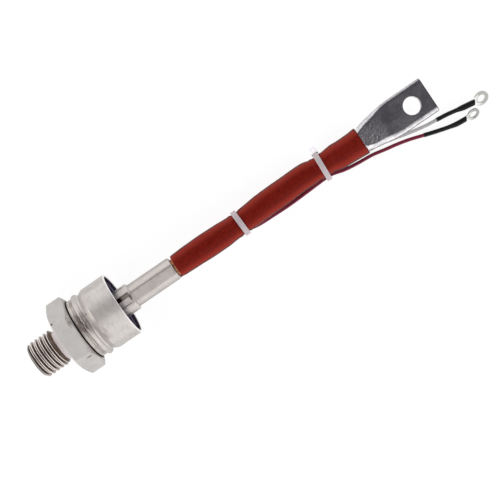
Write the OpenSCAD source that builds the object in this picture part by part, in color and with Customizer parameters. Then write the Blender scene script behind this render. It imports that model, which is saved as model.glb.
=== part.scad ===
// Stud-mount triac in a welded metal can, with a flexible power lead and two control wires.
// Millimetres. The origin is the centre of the hex base's seating face, on the stud axis.
// +X runs along the stud axis towards the lead and +Z is up. The object lies on one hex flat.

/* [Stud and base] */
// Thread diameter of the mounting stud
stud_d = 20; // [18:0.5:24]
// Length of the stud below the seating face
stud_length = 18; // [14:0.5:26]
// Chamfer at the stud's end
stud_chamfer = 1.5; // [0.5:0.1:2.5]
// Diameter of the plain neck between thread and seat
neck_d = 16.6; // [15:0.2:17.6]
// Length of the plain neck
neck_length = 3.8; // [1.5:0.1:5]
// Hexagon across flats
hex_af = 36; // [34:0.5:41]
// Thickness of the hexagon
hex_thickness = 10.5; // [8:0.5:14]
// Diameter of the flat face on the seat side
seat_face_d = 33.6; // [31:0.2:34]
// Diameter of the flat face on the can side
weld_face_d = 34; // [33:0.2:34]
// Angle of the chamfers on the hexagon's corners
hex_chamfer_angle = 20; // [12:1:30]
// Height of the raised contact face inside the cup
pedestal_height = 0.5; // [0.2:0.1:1.5]

/* [Cup and can] */
// Inside diameter of the cup that holds the pressure stack
cup_inner_d = 26; // [25.6:0.1:26.6]
// Wall of the cup
cup_wall = 1.4; // [1.2:0.05:1.6]
// Diameter of the weld ring
weld_ring_d = 32.8; // [31.6:0.2:34]
// Height of the weld ring
weld_ring_height = 3.3; // [2.4:0.1:4]
// Height of the shadow groove under the weld ring
weld_groove = 0.45; // [0.3:0.05:0.8]
// Diameter over the can's rolled bead
bead_d = 35; // [34:0.2:36]
// Height of the rolled bead
bead_height = 2.8; // [2.2:0.1:3.4]
// Diameter of the neck above the bead
can_neck_d = 32; // [31.8:0.1:32.8]
// Diameter of the can's straight body
can_d = 34.8; // [34:0.1:36]
// Wall of the can
can_wall = 1.1; // [0.9:0.05:1.2]
// Length of the cone between neck and body
shoulder_length = 2.8; // [2:0.1:4]
// Height of the can above the weld ring
can_height = 20.2; // [20:0.2:24]
// Depth of the open recess above the seal
recess_depth = 3; // [2:0.1:3.6]
// Thickness of the insulating seal
seal_thickness = 2.5; // [2:0.1:3]

/* [Lead outlet] */
// Outside diameter of the collar in the seal
collar_d = 15; // [14:0.2:16]
// Wall of the collar
collar_wall = 1.4; // [1:0.1:1.8]
// How far the collar stands above the can's rim
collar_rise = 6.4; // [5:0.2:9]
// Across-flats size pressed on the collar
collar_af = 14.3; // [13.6:0.1:15]
// Chamfer at the collar's end
collar_chamfer = 0.9; // [0.3:0.1:1.2]
// Width of the slot in the collar
slot_width = 2; // [1:0.1:3]
// Length of the slot in the collar
slot_length = 7.2; // [4:0.2:8]
// Across-flats size of the crimped tube
tube_af = 11.4; // [11:0.1:12.4]
// Diameter over the crimped tube's rounded corners
tube_corner_d = 12.8; // [12.6:0.1:13.4]
// Length of the crimped tube above the collar
tube_length = 25.1; // [20:0.5:25.5]
// Bore of the crimped tube round the rope
tube_bore_d = 9.2; // [8.8:0.1:9.6]
// Depth of the indent pressed near the tube's mouth
indent_depth = 0.55; // [0.2:0.05:0.8]
// Length of the indent
indent_length = 7.4; // [5:0.2:10]
// Width of the indent
indent_width = 5.2; // [4:0.2:5.6]
// Height of the flash that the crimping die leaves at two corners
flash_height = 0.3; // [0.1:0.05:0.5]

/* [Pressure stack] */
// Diameter of the lower metal disc
lower_disc_d = 24.8; // [23.8:0.1:25.2]
// Thickness of the lower metal disc
lower_disc_t = 1.5; // [1:0.1:1.8]
// Diameter of the silicon wafer
wafer_d = 24; // [23:0.1:25]
// Thickness of the silicon wafer
wafer_t = 0.45; // [0.3:0.05:0.6]
// Diameter of the upper metal disc and of the post's flange
contact_d = 20.8; // [19:0.2:21.4]
// Thickness of the upper metal disc
upper_disc_t = 1.2; // [0.8:0.1:1.5]
// Hole for the gate contact in the upper disc
gate_hole_d = 3.4; // [3:0.1:4]
// Thickness of the contact post's flange
post_flange_t = 3; // [2.4:0.1:3.4]
// Diameter of the contact post's stem
stem_d = 8.4; // [8:0.1:8.8]
// Length of the stem inside the crimped tube, above the collar
stem_reach = 2; // [1:0.5:4]
// Wall of the centring ring round the upper disc and the post's flange
centring_wall = 1; // [0.8:0.1:1.6]
// Thickness of the centring ring's foot, which reaches the cup's wall
centring_foot_t = 1.2; // [0.8:0.1:2]
// Thickness of the mica washer
mica_t = 0.8; // [0.4:0.1:1]
// Thickness of the steel thrust washer
thrust_t = 1.4; // [1:0.1:1.6]
// Outside diameter of the washers in the stack
washer_d = 24.6; // [23:0.2:25.2]
// Thickness of each spring washer
spring_t = 0.9; // [0.7:0.05:1]
// Free cone height of each spring washer
spring_cone = 0.7; // [0.4:0.05:0.8]
// Thickness of the pressure plate on the springs
plate_t = 1.1; // [0.8:0.1:1.3]
// Thickness of the lock ring
lock_ring_t = 1.1; // [0.8:0.1:1.3]
// Inside diameter of the lock ring
lock_ring_inner_d = 22; // [20:0.2:24]
// How deep the lock ring enters the cup's wall
lock_ring_bite = 0.7; // [0.4:0.05:0.9]
// Wall of the insulating tube round the stem
insulator_wall = 0.4; // [0.3:0.05:0.6]
// Clearance round pieces that slide over each other
slide_gap = 0.05; // [0.02:0.01:0.1]

/* [Gate contact] */
// Diameter of the gate contact's tip
gate_tip_d = 1.8; // [1.2:0.1:2.2]
// Diameter of the gate contact's shoulder
gate_shoulder_d = 2.5; // [2.4:0.05:2.6]
// Outside diameter of the ceramic guide
guide_d = 4.3; // [4.1:0.05:4.5]
// Inside diameter of the ceramic guide
guide_bore_d = 2.7; // [2.65:0.05:2.9]
// Length of the ceramic guide above the upper disc
guide_length = 8.6; // [8:0.2:9.4]
// Wire diameter of the gate spring
gate_spring_wire_d = 0.3; // [0.2:0.02:0.36]
// Turns of the gate spring
gate_spring_turns = 5; // [4:1:7]
// Diameter of the inner leads
inner_lead_d = 0.6; // [0.4:0.05:0.7]
// Outside diameter of the two outlet tubes in the seal
outlet_tube_d = 1.8; // [1.7:0.05:2]
// Bore of the outlet tubes
outlet_bore_d = 1.1; // [1:0.05:1.2]
// How far the outlet tubes stand above the rim
outlet_rise = 2.5; // [1:0.1:2.6]
// Space between the inner leads and the pieces above and below them
inner_lead_gap = 0.15; // [0.1:0.05:0.3]

/* [Power lead] */
// Diameter of the copper rope
rope_d = 10.2; // [9.6:0.1:10.4]
// Wall of the sleeve
sleeve_wall = 0.7; // [0.5:0.05:0.8]
// Outside diameter of the lug's barrel
barrel_d = 12.3; // [12:0.1:12.5]
// Wall of the tube that the lug is pressed from
lug_wall = 1.2; // [0.9:0.05:1.4]
// Width of the lug's palm
palm_width = 19.4; // [17:0.2:22]
// Distance from the barrel's mouth to the start of the flattening
barrel_length = 10; // [8:0.5:15]
// Length over which the tube goes flat
flare_length = 21; // [12:0.5:24]
// Length of the flat palm
palm_length = 26; // [20:0.5:32]
// Fastener hole in the palm
palm_hole_d = 9.6; // [8.4:0.1:12.5]
// Distance from the hole's centre to the palm's end
palm_hole_edge = 11; // [9:0.5:13]

/* [Cable ties] */
// Width of the tie's strap
tie_width = 3; // [2.4:0.1:3.2]
// Thickness of the tie's strap
tie_thickness = 1.25; // [0.8:0.05:1.25]
// Length of the tie's head across the strap
tie_head_length = 4.8; // [4:0.1:6]
// Height of the tie's head above the strap
tie_head_height = 3.6; // [3:0.1:4.4]
// How far the cut tail stands out of the head
tie_tail = 1.4; // [0.5:0.1:3]

/* [Control wires] */
// Diameter of the insulated control wires
wire_d = 1.9; // [1.5:0.1:1.9]
// Diameter of the stripped core
core_d = 0.7; // [0.5:0.05:0.9]
// Wall of the shrink sleeves
shrink_wall = 0.22; // [0.15:0.01:0.3]
// Sheet thickness of the ring terminals
terminal_sheet = 0.7; // [0.5:0.05:0.9]
// Outside diameter of the gate wire's ring
gate_ring_d = 8.2; // [7:0.1:8.2]
// Hole of the gate wire's ring
gate_ring_hole_d = 4.3; // [3.7:0.1:5]
// Diameter of the gate terminal's barrel
gate_barrel_d = 2.6; // [2.4:0.05:2.8]
// Outside diameter of the second wire's ring
control_ring_d = 7; // [6.2:0.1:7]
// Hole of the second wire's ring
control_ring_hole_d = 4.1; // [3.2:0.1:4.3]
// Diameter of the second terminal's barrel
control_barrel_d = 2.2; // [2.1:0.05:2.4]
// Length of the terminals' barrels
terminal_barrel_length = 5.7; // [4:0.1:7]
// Distance between a ring's edge and its barrel
terminal_neck = 0.8; // [0.6:0.1:2]

/* [Hidden] */
$fn = 96;

// Small overshoot of cutting shapes
cut = 1;

// Levels along the stud axis, from the seating face
cup_floor_x = hex_thickness + pedestal_height;
weld_ring_top_x = hex_thickness + weld_ring_height;
rim_x = weld_ring_top_x + can_height;
seal_top_x = rim_x - recess_depth;
seal_bottom_x = seal_top_x - seal_thickness;
collar_end_x = rim_x + collar_rise;
tube_end_x = collar_end_x + tube_length;
wafer_x = cup_floor_x + lower_disc_t;
upper_disc_x = wafer_x + wafer_t;
post_x = upper_disc_x + upper_disc_t;
mica_x = post_x + post_flange_t;
thrust_x = mica_x + mica_t;
spring_1_x = thrust_x + thrust_t;
spring_rise = spring_cone + spring_t;
spring_2_x = spring_1_x + spring_rise;
spring_3_x = spring_2_x + spring_rise;
plate_x = spring_3_x + spring_rise;
lock_ring_x = plate_x + plate_t;
lock_ring_top_x = lock_ring_x + lock_ring_t;
inner_lead_x = seal_bottom_x - inner_lead_gap - inner_lead_d / 2;
cup_top_x = inner_lead_x - inner_lead_d / 2 - inner_lead_gap;

// Radii that several pieces share
hex_corner_r = hex_af / 2 / cos(30);
cup_outer_r = cup_inner_d / 2 + cup_wall;
can_inner_r = can_d / 2 - can_wall;
collar_bore_r = collar_d / 2 - collar_wall;
stem_r = stem_d / 2;
washer_bore_r = stem_r + insulator_wall + 3 * slide_gap;
lug_bore_r = barrel_d / 2 - lug_wall;
guide_x = upper_disc_x + upper_disc_t;
guide_end_x = guide_x + guide_length;
gate_shoulder_x = upper_disc_x + 2.6;
gate_shoulder_t = 0.6;
stem_slot_r = 3.2;
stem_slot_width = 1.2;
lead_turn_x = guide_end_x - 1.9;
guide_lid_x = guide_end_x - 1;

// The two outlet tubes pass the seal midway between collar and can, on the side below the lead
outlet_r = (collar_d / 2 + can_inner_r) / 2;
gate_outlet_turn = 5;
control_outlet_turn = 24;
gate_outlet = outlet_r * [-sin(gate_outlet_turn), -cos(gate_outlet_turn)];
control_outlet = outlet_r * [-sin(control_outlet_turn), -cos(control_outlet_turn)];
outlet_end_x = rim_x + outlet_rise;

// Centreline of the power lead, from the crimped tube to the lug
lead_route = [[66.5, 0, 0], [68.5, 0, 0], [76, 0, -0.5], [85, -0.1, -1.6], [94, -0.2, -3.3],
    [101, -0.2, -4.75], [104.2, -0.2, -5.3], [107.8, -0.2, -5.45], [111, -0.1, -5.9],
    [120, 0.4, -7.7], [133, 0.7, -9.6], [148, 0.9, -10.7],
    [155.1, 0.3, -10.7], [159.4, 0.25, -10.7], [162, 0.1, -10.7], [167.6, -0.3, -10.7],
    [177, -0.3, -10.7], [182.4, -0.3, -10.7]];
// Outside radius of the sleeve at each of those points, drawn in under the ties
sleeve_r = [5.9, 6.2, 6.55, 6.7, 6.7, 6.3, 5.97, 5.97, 6.4, 6.75, 6.85, 6.65, 6, 6, 6.25, 7.1, 7.15, 7.9];
// Height of the sleeve's mouth over the flattened lug, as a share of its width
sleeve_mouth_height = 0.88;
// The rope takes these points of the lead's centreline
rope_stops = [2, 4, 5, 6, 7, 9, 10, 11, 12, 13, 15];
// Place of the lug on the end of the lead
lug_x = 168;
lug_y = -0.3;
lug_z = -10.7;

// Places of the two ties, the slope of the lead there and the turn of their heads
tie_near_at = [105.9, -0.2, -5.37];
tie_near_slope = 2.4;
tie_near_head = -68;
tie_near_wires = [[-3.6, -6], [-5.2, -4.7]];
tie_far_at = [157.3, 0.3, -10.7];
tie_far_slope = 0;
tie_far_head = -14;
tie_far_wires = [[-5.3, -4.6], [-6.4, -2.85]];

// Centrelines of the two control wires, from the outlet tubes to the ring terminals
gate_route = [[40, -1, -12.2], [50, -1.3, -12.6], [64, -1.9, -12.4], [78, -2.8, -11.8],
    [92, -3.5, -11.3], [100, -3.9, -11.5], [103, -3.8, -11.25], [108, -3.8, -11.46], [113, -4.7, -12.5],
    [122, -5.3, -13.4], [133, -5.5, -14.7], [145, -5.3, -15.5], [154.4, -5, -15.3],
    [159.1, -5, -15.3], [167, -6.3, -16.3], [175, -6.9, -16.9], [184, -6.9, -17],
    [191, -7.7, -17], [198, -9.2, -17], [204, -10.7, -17], [210, -12, -17],
    [216, -13.1, -16.85], [222.4, -13.85, -16.55], [225.5, -14.2, -16.2], [229, -14.65, -15.75],
    [233, -15.4, -15.1], [237.6, -16.35, -14.8]];
control_route = [[40, -5, -11], [50, -5, -11], [64, -5.2, -10.4], [78, -5.4, -9.9], [92, -5.4, -9.8],
    [100, -5.7, -10.1], [103, -5.4, -9.96], [108, -5.4, -10.17], [113, -6.3, -10.8], [122, -6.7, -11.7],
    [133, -6.9, -12.2], [145, -6.5, -12.9], [154.4, -6.1, -13.55], [159.1, -6.1, -13.55],
    [167, -8.1, -14.4], [175, -9.2, -15.8], [184, -10, -17], [191, -11.4, -17],
    [198, -12.7, -17], [205, -14.4, -17], [212.4, -16.75, -16.68], [216, -17.9, -16.6],
    [220, -19.1, -16.35], [225, -20.5, -15.6], [230, -21.6, -14.9]];
core_reach = 3;
core_bare = 0.25;
shrink_stops = 4;
shrink_margin = 0.3;
// Heading and tilt of each ring terminal
gate_heading = -8.7;
gate_tilt = 36;
control_heading = -5;
control_tilt = 46;

rope_sides = 12;
wire_sides = 8;

function unit(v) = v / norm(v);

// Direction of a route at point i
function heading(route, i) =
    let (last = len(route) - 1)
    i == 0 ? unit(route[1] - route[0]) :
    i == last ? unit(route[last] - route[last - 1]) :
    unit(unit(route[i] - route[i - 1]) + unit(route[i + 1] - route[i]));

// Points of one ring round a route, which may be lower than it is wide
function ring_points(centre, along, r, sides, height = 1) =
    let (a = unit([0, 1, 0] - ([0, 1, 0] * along) * along), b = cross(along, a))
    [for (k = [0 : sides - 1]) let (w = 360 * (k + 0.5) / sides)
        centre + r * (cos(w) * a + height * sin(w) * b)];

// All rings of a route, the last of which may be flattened
function all_rings(route, radii, sides, from = 0, mouth_height = 1) =
    let (last = len(route) - 1)
    [for (i = [from : last])
        each ring_points(route[i], heading(route, i), radii[i], sides, i == last ? mouth_height : 1)];

// Triangles between neighbouring rings, outside or inside
function skin_faces(rings, sides, first, inward) =
    [for (i = [0 : rings - 2], k = [0 : sides - 1])
        let (n = (k + 1) % sides, p = first + i * sides, q = p + sides)
        each inward
            ? [[p + k, p + n, q + n], [p + k, q + n, q + k]]
            : [[p + k, q + k, q + n], [p + k, q + n, p + n]]];

// Solid swept along a route with one radius for each point
module swept_rod(route, radii, sides) {
    rings = len(route);
    last = (rings - 1) * sides;
    polyhedron(
        points = all_rings(route, radii, sides),
        faces = concat(
            skin_faces(rings, sides, 0, false),
            [[for (k = [0 : sides - 1]) k]],
            [[for (k = [sides - 1 : -1 : 0]) last + k]]),
        convexity = 6);
}

// Hollow tube swept along a route, from one of its points on
module swept_tube(route, outer, inner, sides, from = 0, mouth_height = 1) {
    rings = len(route) - from;
    bore = rings * sides;
    last = (rings - 1) * sides;
    polyhedron(
        points = concat(
            all_rings(route, outer, sides, from, mouth_height),
            all_rings(route, inner, sides, from, mouth_height)),
        faces = concat(
            skin_faces(rings, sides, 0, false),
            skin_faces(rings, sides, bore, true),
            [for (k = [0 : sides - 1]) let (n = (k + 1) % sides) [k, n, bore + n, bore + k]],
            [for (k = [0 : sides - 1]) let (n = (k + 1) % sides)
                [last + n, last + k, bore + last + k, bore + last + n]]),
        convexity = 6);
}

// Turns a shape drawn upwards so that it runs along +X
module along_x() {
    rotate([0, 90, 0]) children();
}

// Solid of revolution about the stud axis, from points of radius and level
module turned(points) {
    along_x() rotate_extrude() polygon(points);
}

// Plain washer or tube about the stud axis
module washer(from, to, outer_r, inner_r) {
    turned([[inner_r, from], [outer_r, from], [outer_r, to], [inner_r, to]]);
}

// Flat-sided bar about the stud axis, with a flat on top
module hex_bar(from, to, across_flats) {
    along_x() translate([0, 0, from]) linear_extrude(to - from)
        rotate(30) circle(d = across_flats / cos(30), $fn = 6);
}

// Rod along +X through a place across the axis
module rod_at(place, from, to, d) {
    translate([0, place[0], place[1]]) along_x() translate([0, 0, from]) cylinder(d = d, h = to - from);
}

// Conical spring washer, its rim low on the first side or high on the other
module spring_washer(level, rim_low) {
    rim = washer_d / 2;
    edge = washer_bore_r;
    rim_x = level + (rim_low ? 0 : spring_cone);
    edge_x = level + (rim_low ? spring_cone : 0);
    turned([[edge, edge_x], [rim, rim_x], [rim, rim_x + spring_t], [edge, edge_x + spring_t]]);
}

module stud_base() {
    chamfer_run = tan(hex_chamfer_angle);
    seat_drop = (hex_corner_r - seat_face_d / 2) * chamfer_run;
    weld_drop = (hex_corner_r - weld_face_d / 2) * chamfer_run;
    thread_run_out = (stud_d - neck_d) / 2;
    color([0.76, 0.75, 0.73]) {
        turned([
            [0, -stud_length],
            [stud_d / 2 - stud_chamfer, -stud_length],
            [stud_d / 2, -stud_length + stud_chamfer],
            [stud_d / 2, -neck_length - thread_run_out],
            [neck_d / 2, -neck_length],
            [neck_d / 2, 0],
            [0, 0]]);
        intersection() {
            hex_bar(0, hex_thickness, hex_af);
            turned([
                [0, 0],
                [seat_face_d / 2, 0],
                [hex_corner_r, seat_drop],
                [hex_corner_r, hex_thickness - weld_drop],
                [weld_face_d / 2, hex_thickness],
                [0, hex_thickness]]);
        }
        washer(hex_thickness, cup_floor_x, cup_outer_r, 0);
        difference() {
            washer(cup_floor_x, cup_top_x, cup_outer_r, cup_inner_d / 2);
            washer(lock_ring_x, lock_ring_top_x, cup_inner_d / 2 + lock_ring_bite, cup_inner_d / 2 - cut);
        }
    }
}

module weld_ring() {
    bore_r = cup_outer_r + slide_gap;
    ring_r = weld_ring_d / 2;
    edge = 0.25;
    color([0.72, 0.70, 0.66])
        turned([
            [bore_r, hex_thickness],
            [ring_r - 2 * weld_groove, hex_thickness],
            [ring_r - 2 * weld_groove, hex_thickness + weld_groove],
            [ring_r - edge, hex_thickness + weld_groove],
            [ring_r, hex_thickness + weld_groove + edge],
            [ring_r, weld_ring_top_x - 2 * edge],
            [ring_r - 2 * edge, weld_ring_top_x],
            [bore_r, weld_ring_top_x]]);
}

module can_shell() {
    bead_r = bead_height / 2;
    bead_x = weld_ring_top_x + bead_r;
    bead_top_x = weld_ring_top_x + bead_height;
    neck_x = bead_top_x + 0.6;
    body_x = neck_x + shoulder_length;
    neck_r = can_neck_d / 2;
    neck_inner_r = neck_r - can_wall;
    foot_r = cup_outer_r + 0.2;
    lip = can_wall / 3;
    color([0.78, 0.77, 0.74])
        along_x() rotate_extrude() {
            translate([bead_d / 2 - bead_r, bead_x]) circle(r = bead_r, $fn = 48);
            polygon([
                [foot_r, weld_ring_top_x],
                [bead_d / 2 - bead_r, weld_ring_top_x],
                [bead_d / 2 - bead_r, bead_top_x],
                [neck_r, bead_top_x],
                [neck_r, neck_x],
                [can_d / 2, body_x],
                [can_d / 2, rim_x - 2 * lip],
                [can_d / 2 - lip, rim_x],
                [can_inner_r + lip, rim_x],
                [can_inner_r, rim_x - lip],
                [can_inner_r, body_x + can_wall / 2],
                [neck_inner_r, neck_x + can_wall / 2],
                [foot_r, bead_top_x]]);
        }
}

module seal_glass() {
    meniscus = 0.35;
    color([0.13, 0.12, 0.28])
        difference() {
            turned([
                [collar_d / 2, seal_bottom_x],
                [can_inner_r, seal_bottom_x],
                [can_inner_r, seal_top_x + meniscus],
                [can_inner_r - 2 * meniscus, seal_top_x],
                [collar_d / 2 + 2 * meniscus, seal_top_x],
                [collar_d / 2, seal_top_x + meniscus]]);
            for (place = [gate_outlet, control_outlet])
                rod_at(place, seal_bottom_x - cut, seal_top_x + cut, outlet_tube_d);
        }
}

module outer_collar() {
    crimp_x = seal_top_x + 0.6;
    slot_turn = -17;
    color([0.72, 0.70, 0.65])
        difference() {
            union() {
                washer(seal_bottom_x, crimp_x, collar_d / 2, 0);
                intersection() {
                    turned([
                        [0, crimp_x],
                        [collar_d / 2, crimp_x],
                        [collar_d / 2, collar_end_x - collar_chamfer],
                        [collar_d / 2 - collar_chamfer / 2, collar_end_x],
                        [0, collar_end_x]]);
                    rotate([11, 0, 0]) hex_bar(crimp_x, collar_end_x, collar_af);
                }
            }
            washer(seal_bottom_x - cut, collar_end_x + cut, collar_bore_r, 0);
            rotate([slot_turn, 0, 0])
                translate([collar_end_x - 1.6 - slot_length, -slot_width / 2, 0])
                    cube([slot_length, slot_width, collar_d]);
        }
}

module crimp_tube() {
    spigot_r = collar_bore_r - slide_gap;
    flat_turn = 6;
    indent_end_x = tube_end_x - 1.2;
    indent_r = indent_width / 2;
    flash_margin = 1.5;
    color([0.74, 0.73, 0.69])
        difference() {
            union() {
                washer(seal_bottom_x, collar_end_x, spigot_r, 0);
                rotate([flat_turn, 0, 0]) {
                    intersection() {
                        hex_bar(collar_end_x - 2, tube_end_x, tube_af);
                        turned([
                            [0, collar_end_x - 2],
                            [spigot_r - slide_gap, collar_end_x - 2],
                            [spigot_r - slide_gap, collar_end_x],
                            [tube_corner_d / 2, collar_end_x],
                            [tube_corner_d / 2, tube_end_x - 0.5],
                            [tube_corner_d / 2 - 0.4, tube_end_x],
                            [0, tube_end_x]]);
                    }
                    for (turn = [-30, 150])
                        rotate([turn, 0, 0])
                            translate([collar_end_x + flash_margin, -0.25, tube_corner_d / 2 - 0.6])
                                cube([tube_length - 2 * flash_margin, 0.5, 0.6 + flash_height]);
                }
            }
            washer(seal_bottom_x - cut, collar_end_x + stem_reach, stem_r + slide_gap, 0);
            washer(collar_end_x + stem_reach, tube_end_x + cut, tube_bore_d / 2, 0);
            rotate([flat_turn, 0, 0])
                translate([0, 0, tube_af / 2 - indent_depth]) {
                    translate([indent_end_x - indent_length + indent_r, 0, 0])
                        cylinder(r = indent_r, h = cut + indent_depth);
                    translate([indent_end_x - indent_length + indent_r, -indent_r, 0])
                        cube([indent_length - indent_r, indent_width, cut + indent_depth]);
                }
        }
}

module contact_post() {
    slot_turn = atan2(gate_outlet[0], gate_outlet[1]) + 180;
    color([0.80, 0.50, 0.33])
        difference() {
            turned([
                [0, post_x],
                [contact_d / 2, post_x],
                [contact_d / 2, mica_x],
                [stem_r, mica_x],
                [stem_r, collar_end_x + stem_reach - 0.5],
                [stem_r - 0.5, collar_end_x + stem_reach],
                [0, collar_end_x + stem_reach]]);
            washer(post_x - cut, guide_end_x, guide_d / 2 + slide_gap, 0);
            rotate([-slot_turn, 0, 0])
                translate([lead_turn_x - 0.6, -stem_slot_width / 2, -stem_r - cut])
                    cube([seal_bottom_x + 1.5 - lead_turn_x, stem_slot_width, stem_r + cut - 2.4]);
            rotate([-slot_turn, 0, 0])
                translate([lead_turn_x - 0.6, -stem_slot_width / 2, -stem_r - cut])
                    cube([1.2, stem_slot_width, stem_r + cut]);
        }
}

module lower_disc() {
    color([0.55, 0.55, 0.57]) washer(cup_floor_x, wafer_x, lower_disc_d / 2, 0);
}

module silicon_wafer() {
    bevel = wafer_t;
    color([0.30, 0.32, 0.40])
        turned([[0, wafer_x], [wafer_d / 2, wafer_x], [wafer_d / 2 - bevel, upper_disc_x], [0, upper_disc_x]]);
}

module upper_disc() {
    color([0.62, 0.62, 0.64]) washer(upper_disc_x, post_x, contact_d / 2, gate_hole_d / 2);
}

module centring_ring() {
    bore_r = contact_d / 2 + 2 * slide_gap;
    foot_r = cup_inner_d / 2 - 2 * slide_gap;
    color([0.93, 0.92, 0.88])
        turned([
            [bore_r, upper_disc_x],
            [foot_r, upper_disc_x],
            [foot_r, upper_disc_x + centring_foot_t],
            [bore_r + centring_wall, upper_disc_x + centring_foot_t],
            [bore_r + centring_wall, mica_x],
            [bore_r, mica_x]]);
}

module mica_washer() {
    color([0.82, 0.72, 0.52]) washer(mica_x, thrust_x, washer_d / 2 + 0.2, stem_r + slide_gap);
}

module thrust_washer() {
    color([0.60, 0.60, 0.61]) washer(thrust_x, spring_1_x, washer_d / 2, washer_bore_r);
}

module spring_washer_1() {
    color([0.40, 0.41, 0.43]) spring_washer(spring_1_x, true);
}

module spring_washer_2() {
    color([0.40, 0.41, 0.43]) spring_washer(spring_2_x, false);
}

module spring_washer_3() {
    color([0.40, 0.41, 0.43]) spring_washer(spring_3_x, true);
}

module pressure_plate() {
    color([0.60, 0.60, 0.61]) washer(plate_x, lock_ring_x, cup_inner_d / 2 - 2 * slide_gap, washer_bore_r);
}

module lock_ring() {
    gap_width = 5;
    color([0.48, 0.49, 0.50])
        difference() {
            washer(lock_ring_x, lock_ring_top_x, cup_inner_d / 2 + lock_ring_bite - slide_gap,
                lock_ring_inner_d / 2);
            translate([lock_ring_x - cut, -gap_width / 2, 0])
                cube([lock_ring_t + 2 * cut, gap_width, cup_outer_r]);
        }
}

module stem_insulator() {
    color([0.95, 0.95, 0.93])
        washer(thrust_x, lock_ring_top_x, stem_r + slide_gap + insulator_wall, stem_r + slide_gap);
}

module gate_guide() {
    slot_turn = atan2(gate_outlet[0], gate_outlet[1]) + 180;
    color([0.94, 0.93, 0.89])
        difference() {
            washer(guide_x, guide_end_x, guide_d / 2, 0);
            washer(guide_x - cut, guide_lid_x, guide_bore_d / 2, 0);
            rotate([-slot_turn, 0, 0])
                translate([lead_turn_x - 0.5, -0.5, -guide_d])
                    cube([1, 1, guide_d]);
        }
}

module gate_pin() {
    color([0.80, 0.80, 0.82])
        turned([
            [0, upper_disc_x],
            [gate_tip_d / 2, upper_disc_x],
            [gate_tip_d / 2, gate_shoulder_x],
            [gate_shoulder_d / 2, gate_shoulder_x],
            [gate_shoulder_d / 2, gate_shoulder_x + gate_shoulder_t],
            [0, gate_shoulder_x + gate_shoulder_t]]);
}

module gate_spring() {
    from = gate_shoulder_x + gate_shoulder_t + gate_spring_wire_d / 2;
    to = guide_lid_x - gate_spring_wire_d / 2;
    coil_r = guide_bore_d / 2 - gate_spring_wire_d / 2 - slide_gap;
    steps = 10;
    turns = gate_spring_turns + 2;
    // The first and last turns lie nearly flat, as on a closed-end spring
    rise = (to - from) / gate_spring_turns;
    coil = [for (i = [0 : turns * steps])
        let (turn = i / steps, climb = min(max(turn - 1, 0), gate_spring_turns))
        [from + climb * rise, coil_r * cos(360 * turn), coil_r * sin(360 * turn)]];
    color([0.70, 0.70, 0.72])
        coil_rod(coil, gate_spring_wire_d / 2);
}

// Thin rod along a coil about the stud axis
module coil_rod(route, r) {
    sides = 5;
    rings = len(route);
    last = (rings - 1) * sides;
    points = [for (i = [0 : rings - 1])
        let (t = heading(route, i), c = route[i], out = unit([0, c[1], c[2]]),
            a = unit(out - (out * t) * t), b = cross(t, a))
        each [for (k = [0 : sides - 1]) let (w = 360 * k / sides) c + r * (cos(w) * a + sin(w) * b)]];
    polyhedron(points = points,
        faces = concat(
            skin_faces(rings, sides, 0, false),
            [[for (k = [0 : sides - 1]) k]],
            [[for (k = [sides - 1 : -1 : 0]) last + k]]),
        convexity = 10);
}

// Route of an inner lead that leaves the axis side and turns up into its outlet tube
function outlet_bend(reach) =
    [[inner_lead_x, 0, -reach + 0.5], [inner_lead_x + 0.05, 0, -reach + 0.15],
        [inner_lead_x + 0.4, 0, -reach], [outlet_end_x - core_reach - 0.5, 0, -reach]];

module gate_lead() {
    reach = norm(gate_outlet);
    turn = atan2(gate_outlet[0], gate_outlet[1]) + 180;
    r = inner_lead_d / 2;
    route = concat([
        [gate_shoulder_x + gate_shoulder_t, 0, 0],
        [lead_turn_x - 0.5, 0, 0],
        [lead_turn_x - 0.1, 0, -0.1],
        [lead_turn_x, 0, -0.5],
        [lead_turn_x, 0, -stem_slot_r + 0.5],
        [lead_turn_x + 0.1, 0, -stem_slot_r + 0.1],
        [lead_turn_x + 0.5, 0, -stem_slot_r],
        [inner_lead_x - 0.4, 0, -stem_slot_r],
        [inner_lead_x - 0.05, 0, -stem_slot_r - 0.15],
        [inner_lead_x, 0, -stem_slot_r - 0.5]],
        outlet_bend(reach));
    color([0.82, 0.82, 0.84])
        rotate([-turn, 0, 0]) swept_rod(route, [for (p = route) r], wire_sides);
}

module control_lead() {
    reach = norm(control_outlet);
    turn = atan2(control_outlet[0], control_outlet[1]) + 180;
    r = inner_lead_d / 2;
    route = concat([[inner_lead_x, 0, -stem_r - 0.02]], outlet_bend(reach));
    color([0.82, 0.82, 0.84])
        rotate([-turn, 0, 0]) swept_rod(route, [for (p = route) r], wire_sides);
}

module outlet_tube(place) {
    difference() {
        rod_at(place, seal_bottom_x, outlet_end_x, outlet_tube_d);
        rod_at(place, seal_bottom_x - cut, outlet_end_x + cut, outlet_bore_d);
    }
}

module gate_tube() {
    color([0.74, 0.73, 0.70]) outlet_tube(gate_outlet);
}

module control_tube() {
    color([0.74, 0.73, 0.70]) outlet_tube(control_outlet);
}

module lead_rope() {
    crimped_r = tube_bore_d / 2 - slide_gap;
    barrel_r = min(lug_bore_r - slide_gap, rope_d / 2);
    route = concat(
        [[collar_end_x + stem_reach + 0.2, 0, 0], [tube_end_x, 0, 0]],
        [for (i = rope_stops) lead_route[i]],
        [[lug_x + barrel_length - 3, lug_y, lug_z]]);
    last = len(route) - 1;
    radii = [for (i = [0 : last]) i < 2 ? crimped_r : i > last - 2 ? barrel_r : rope_d / 2];
    color([0.72, 0.45, 0.30]) swept_rod(route, radii, rope_sides);
}

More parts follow.
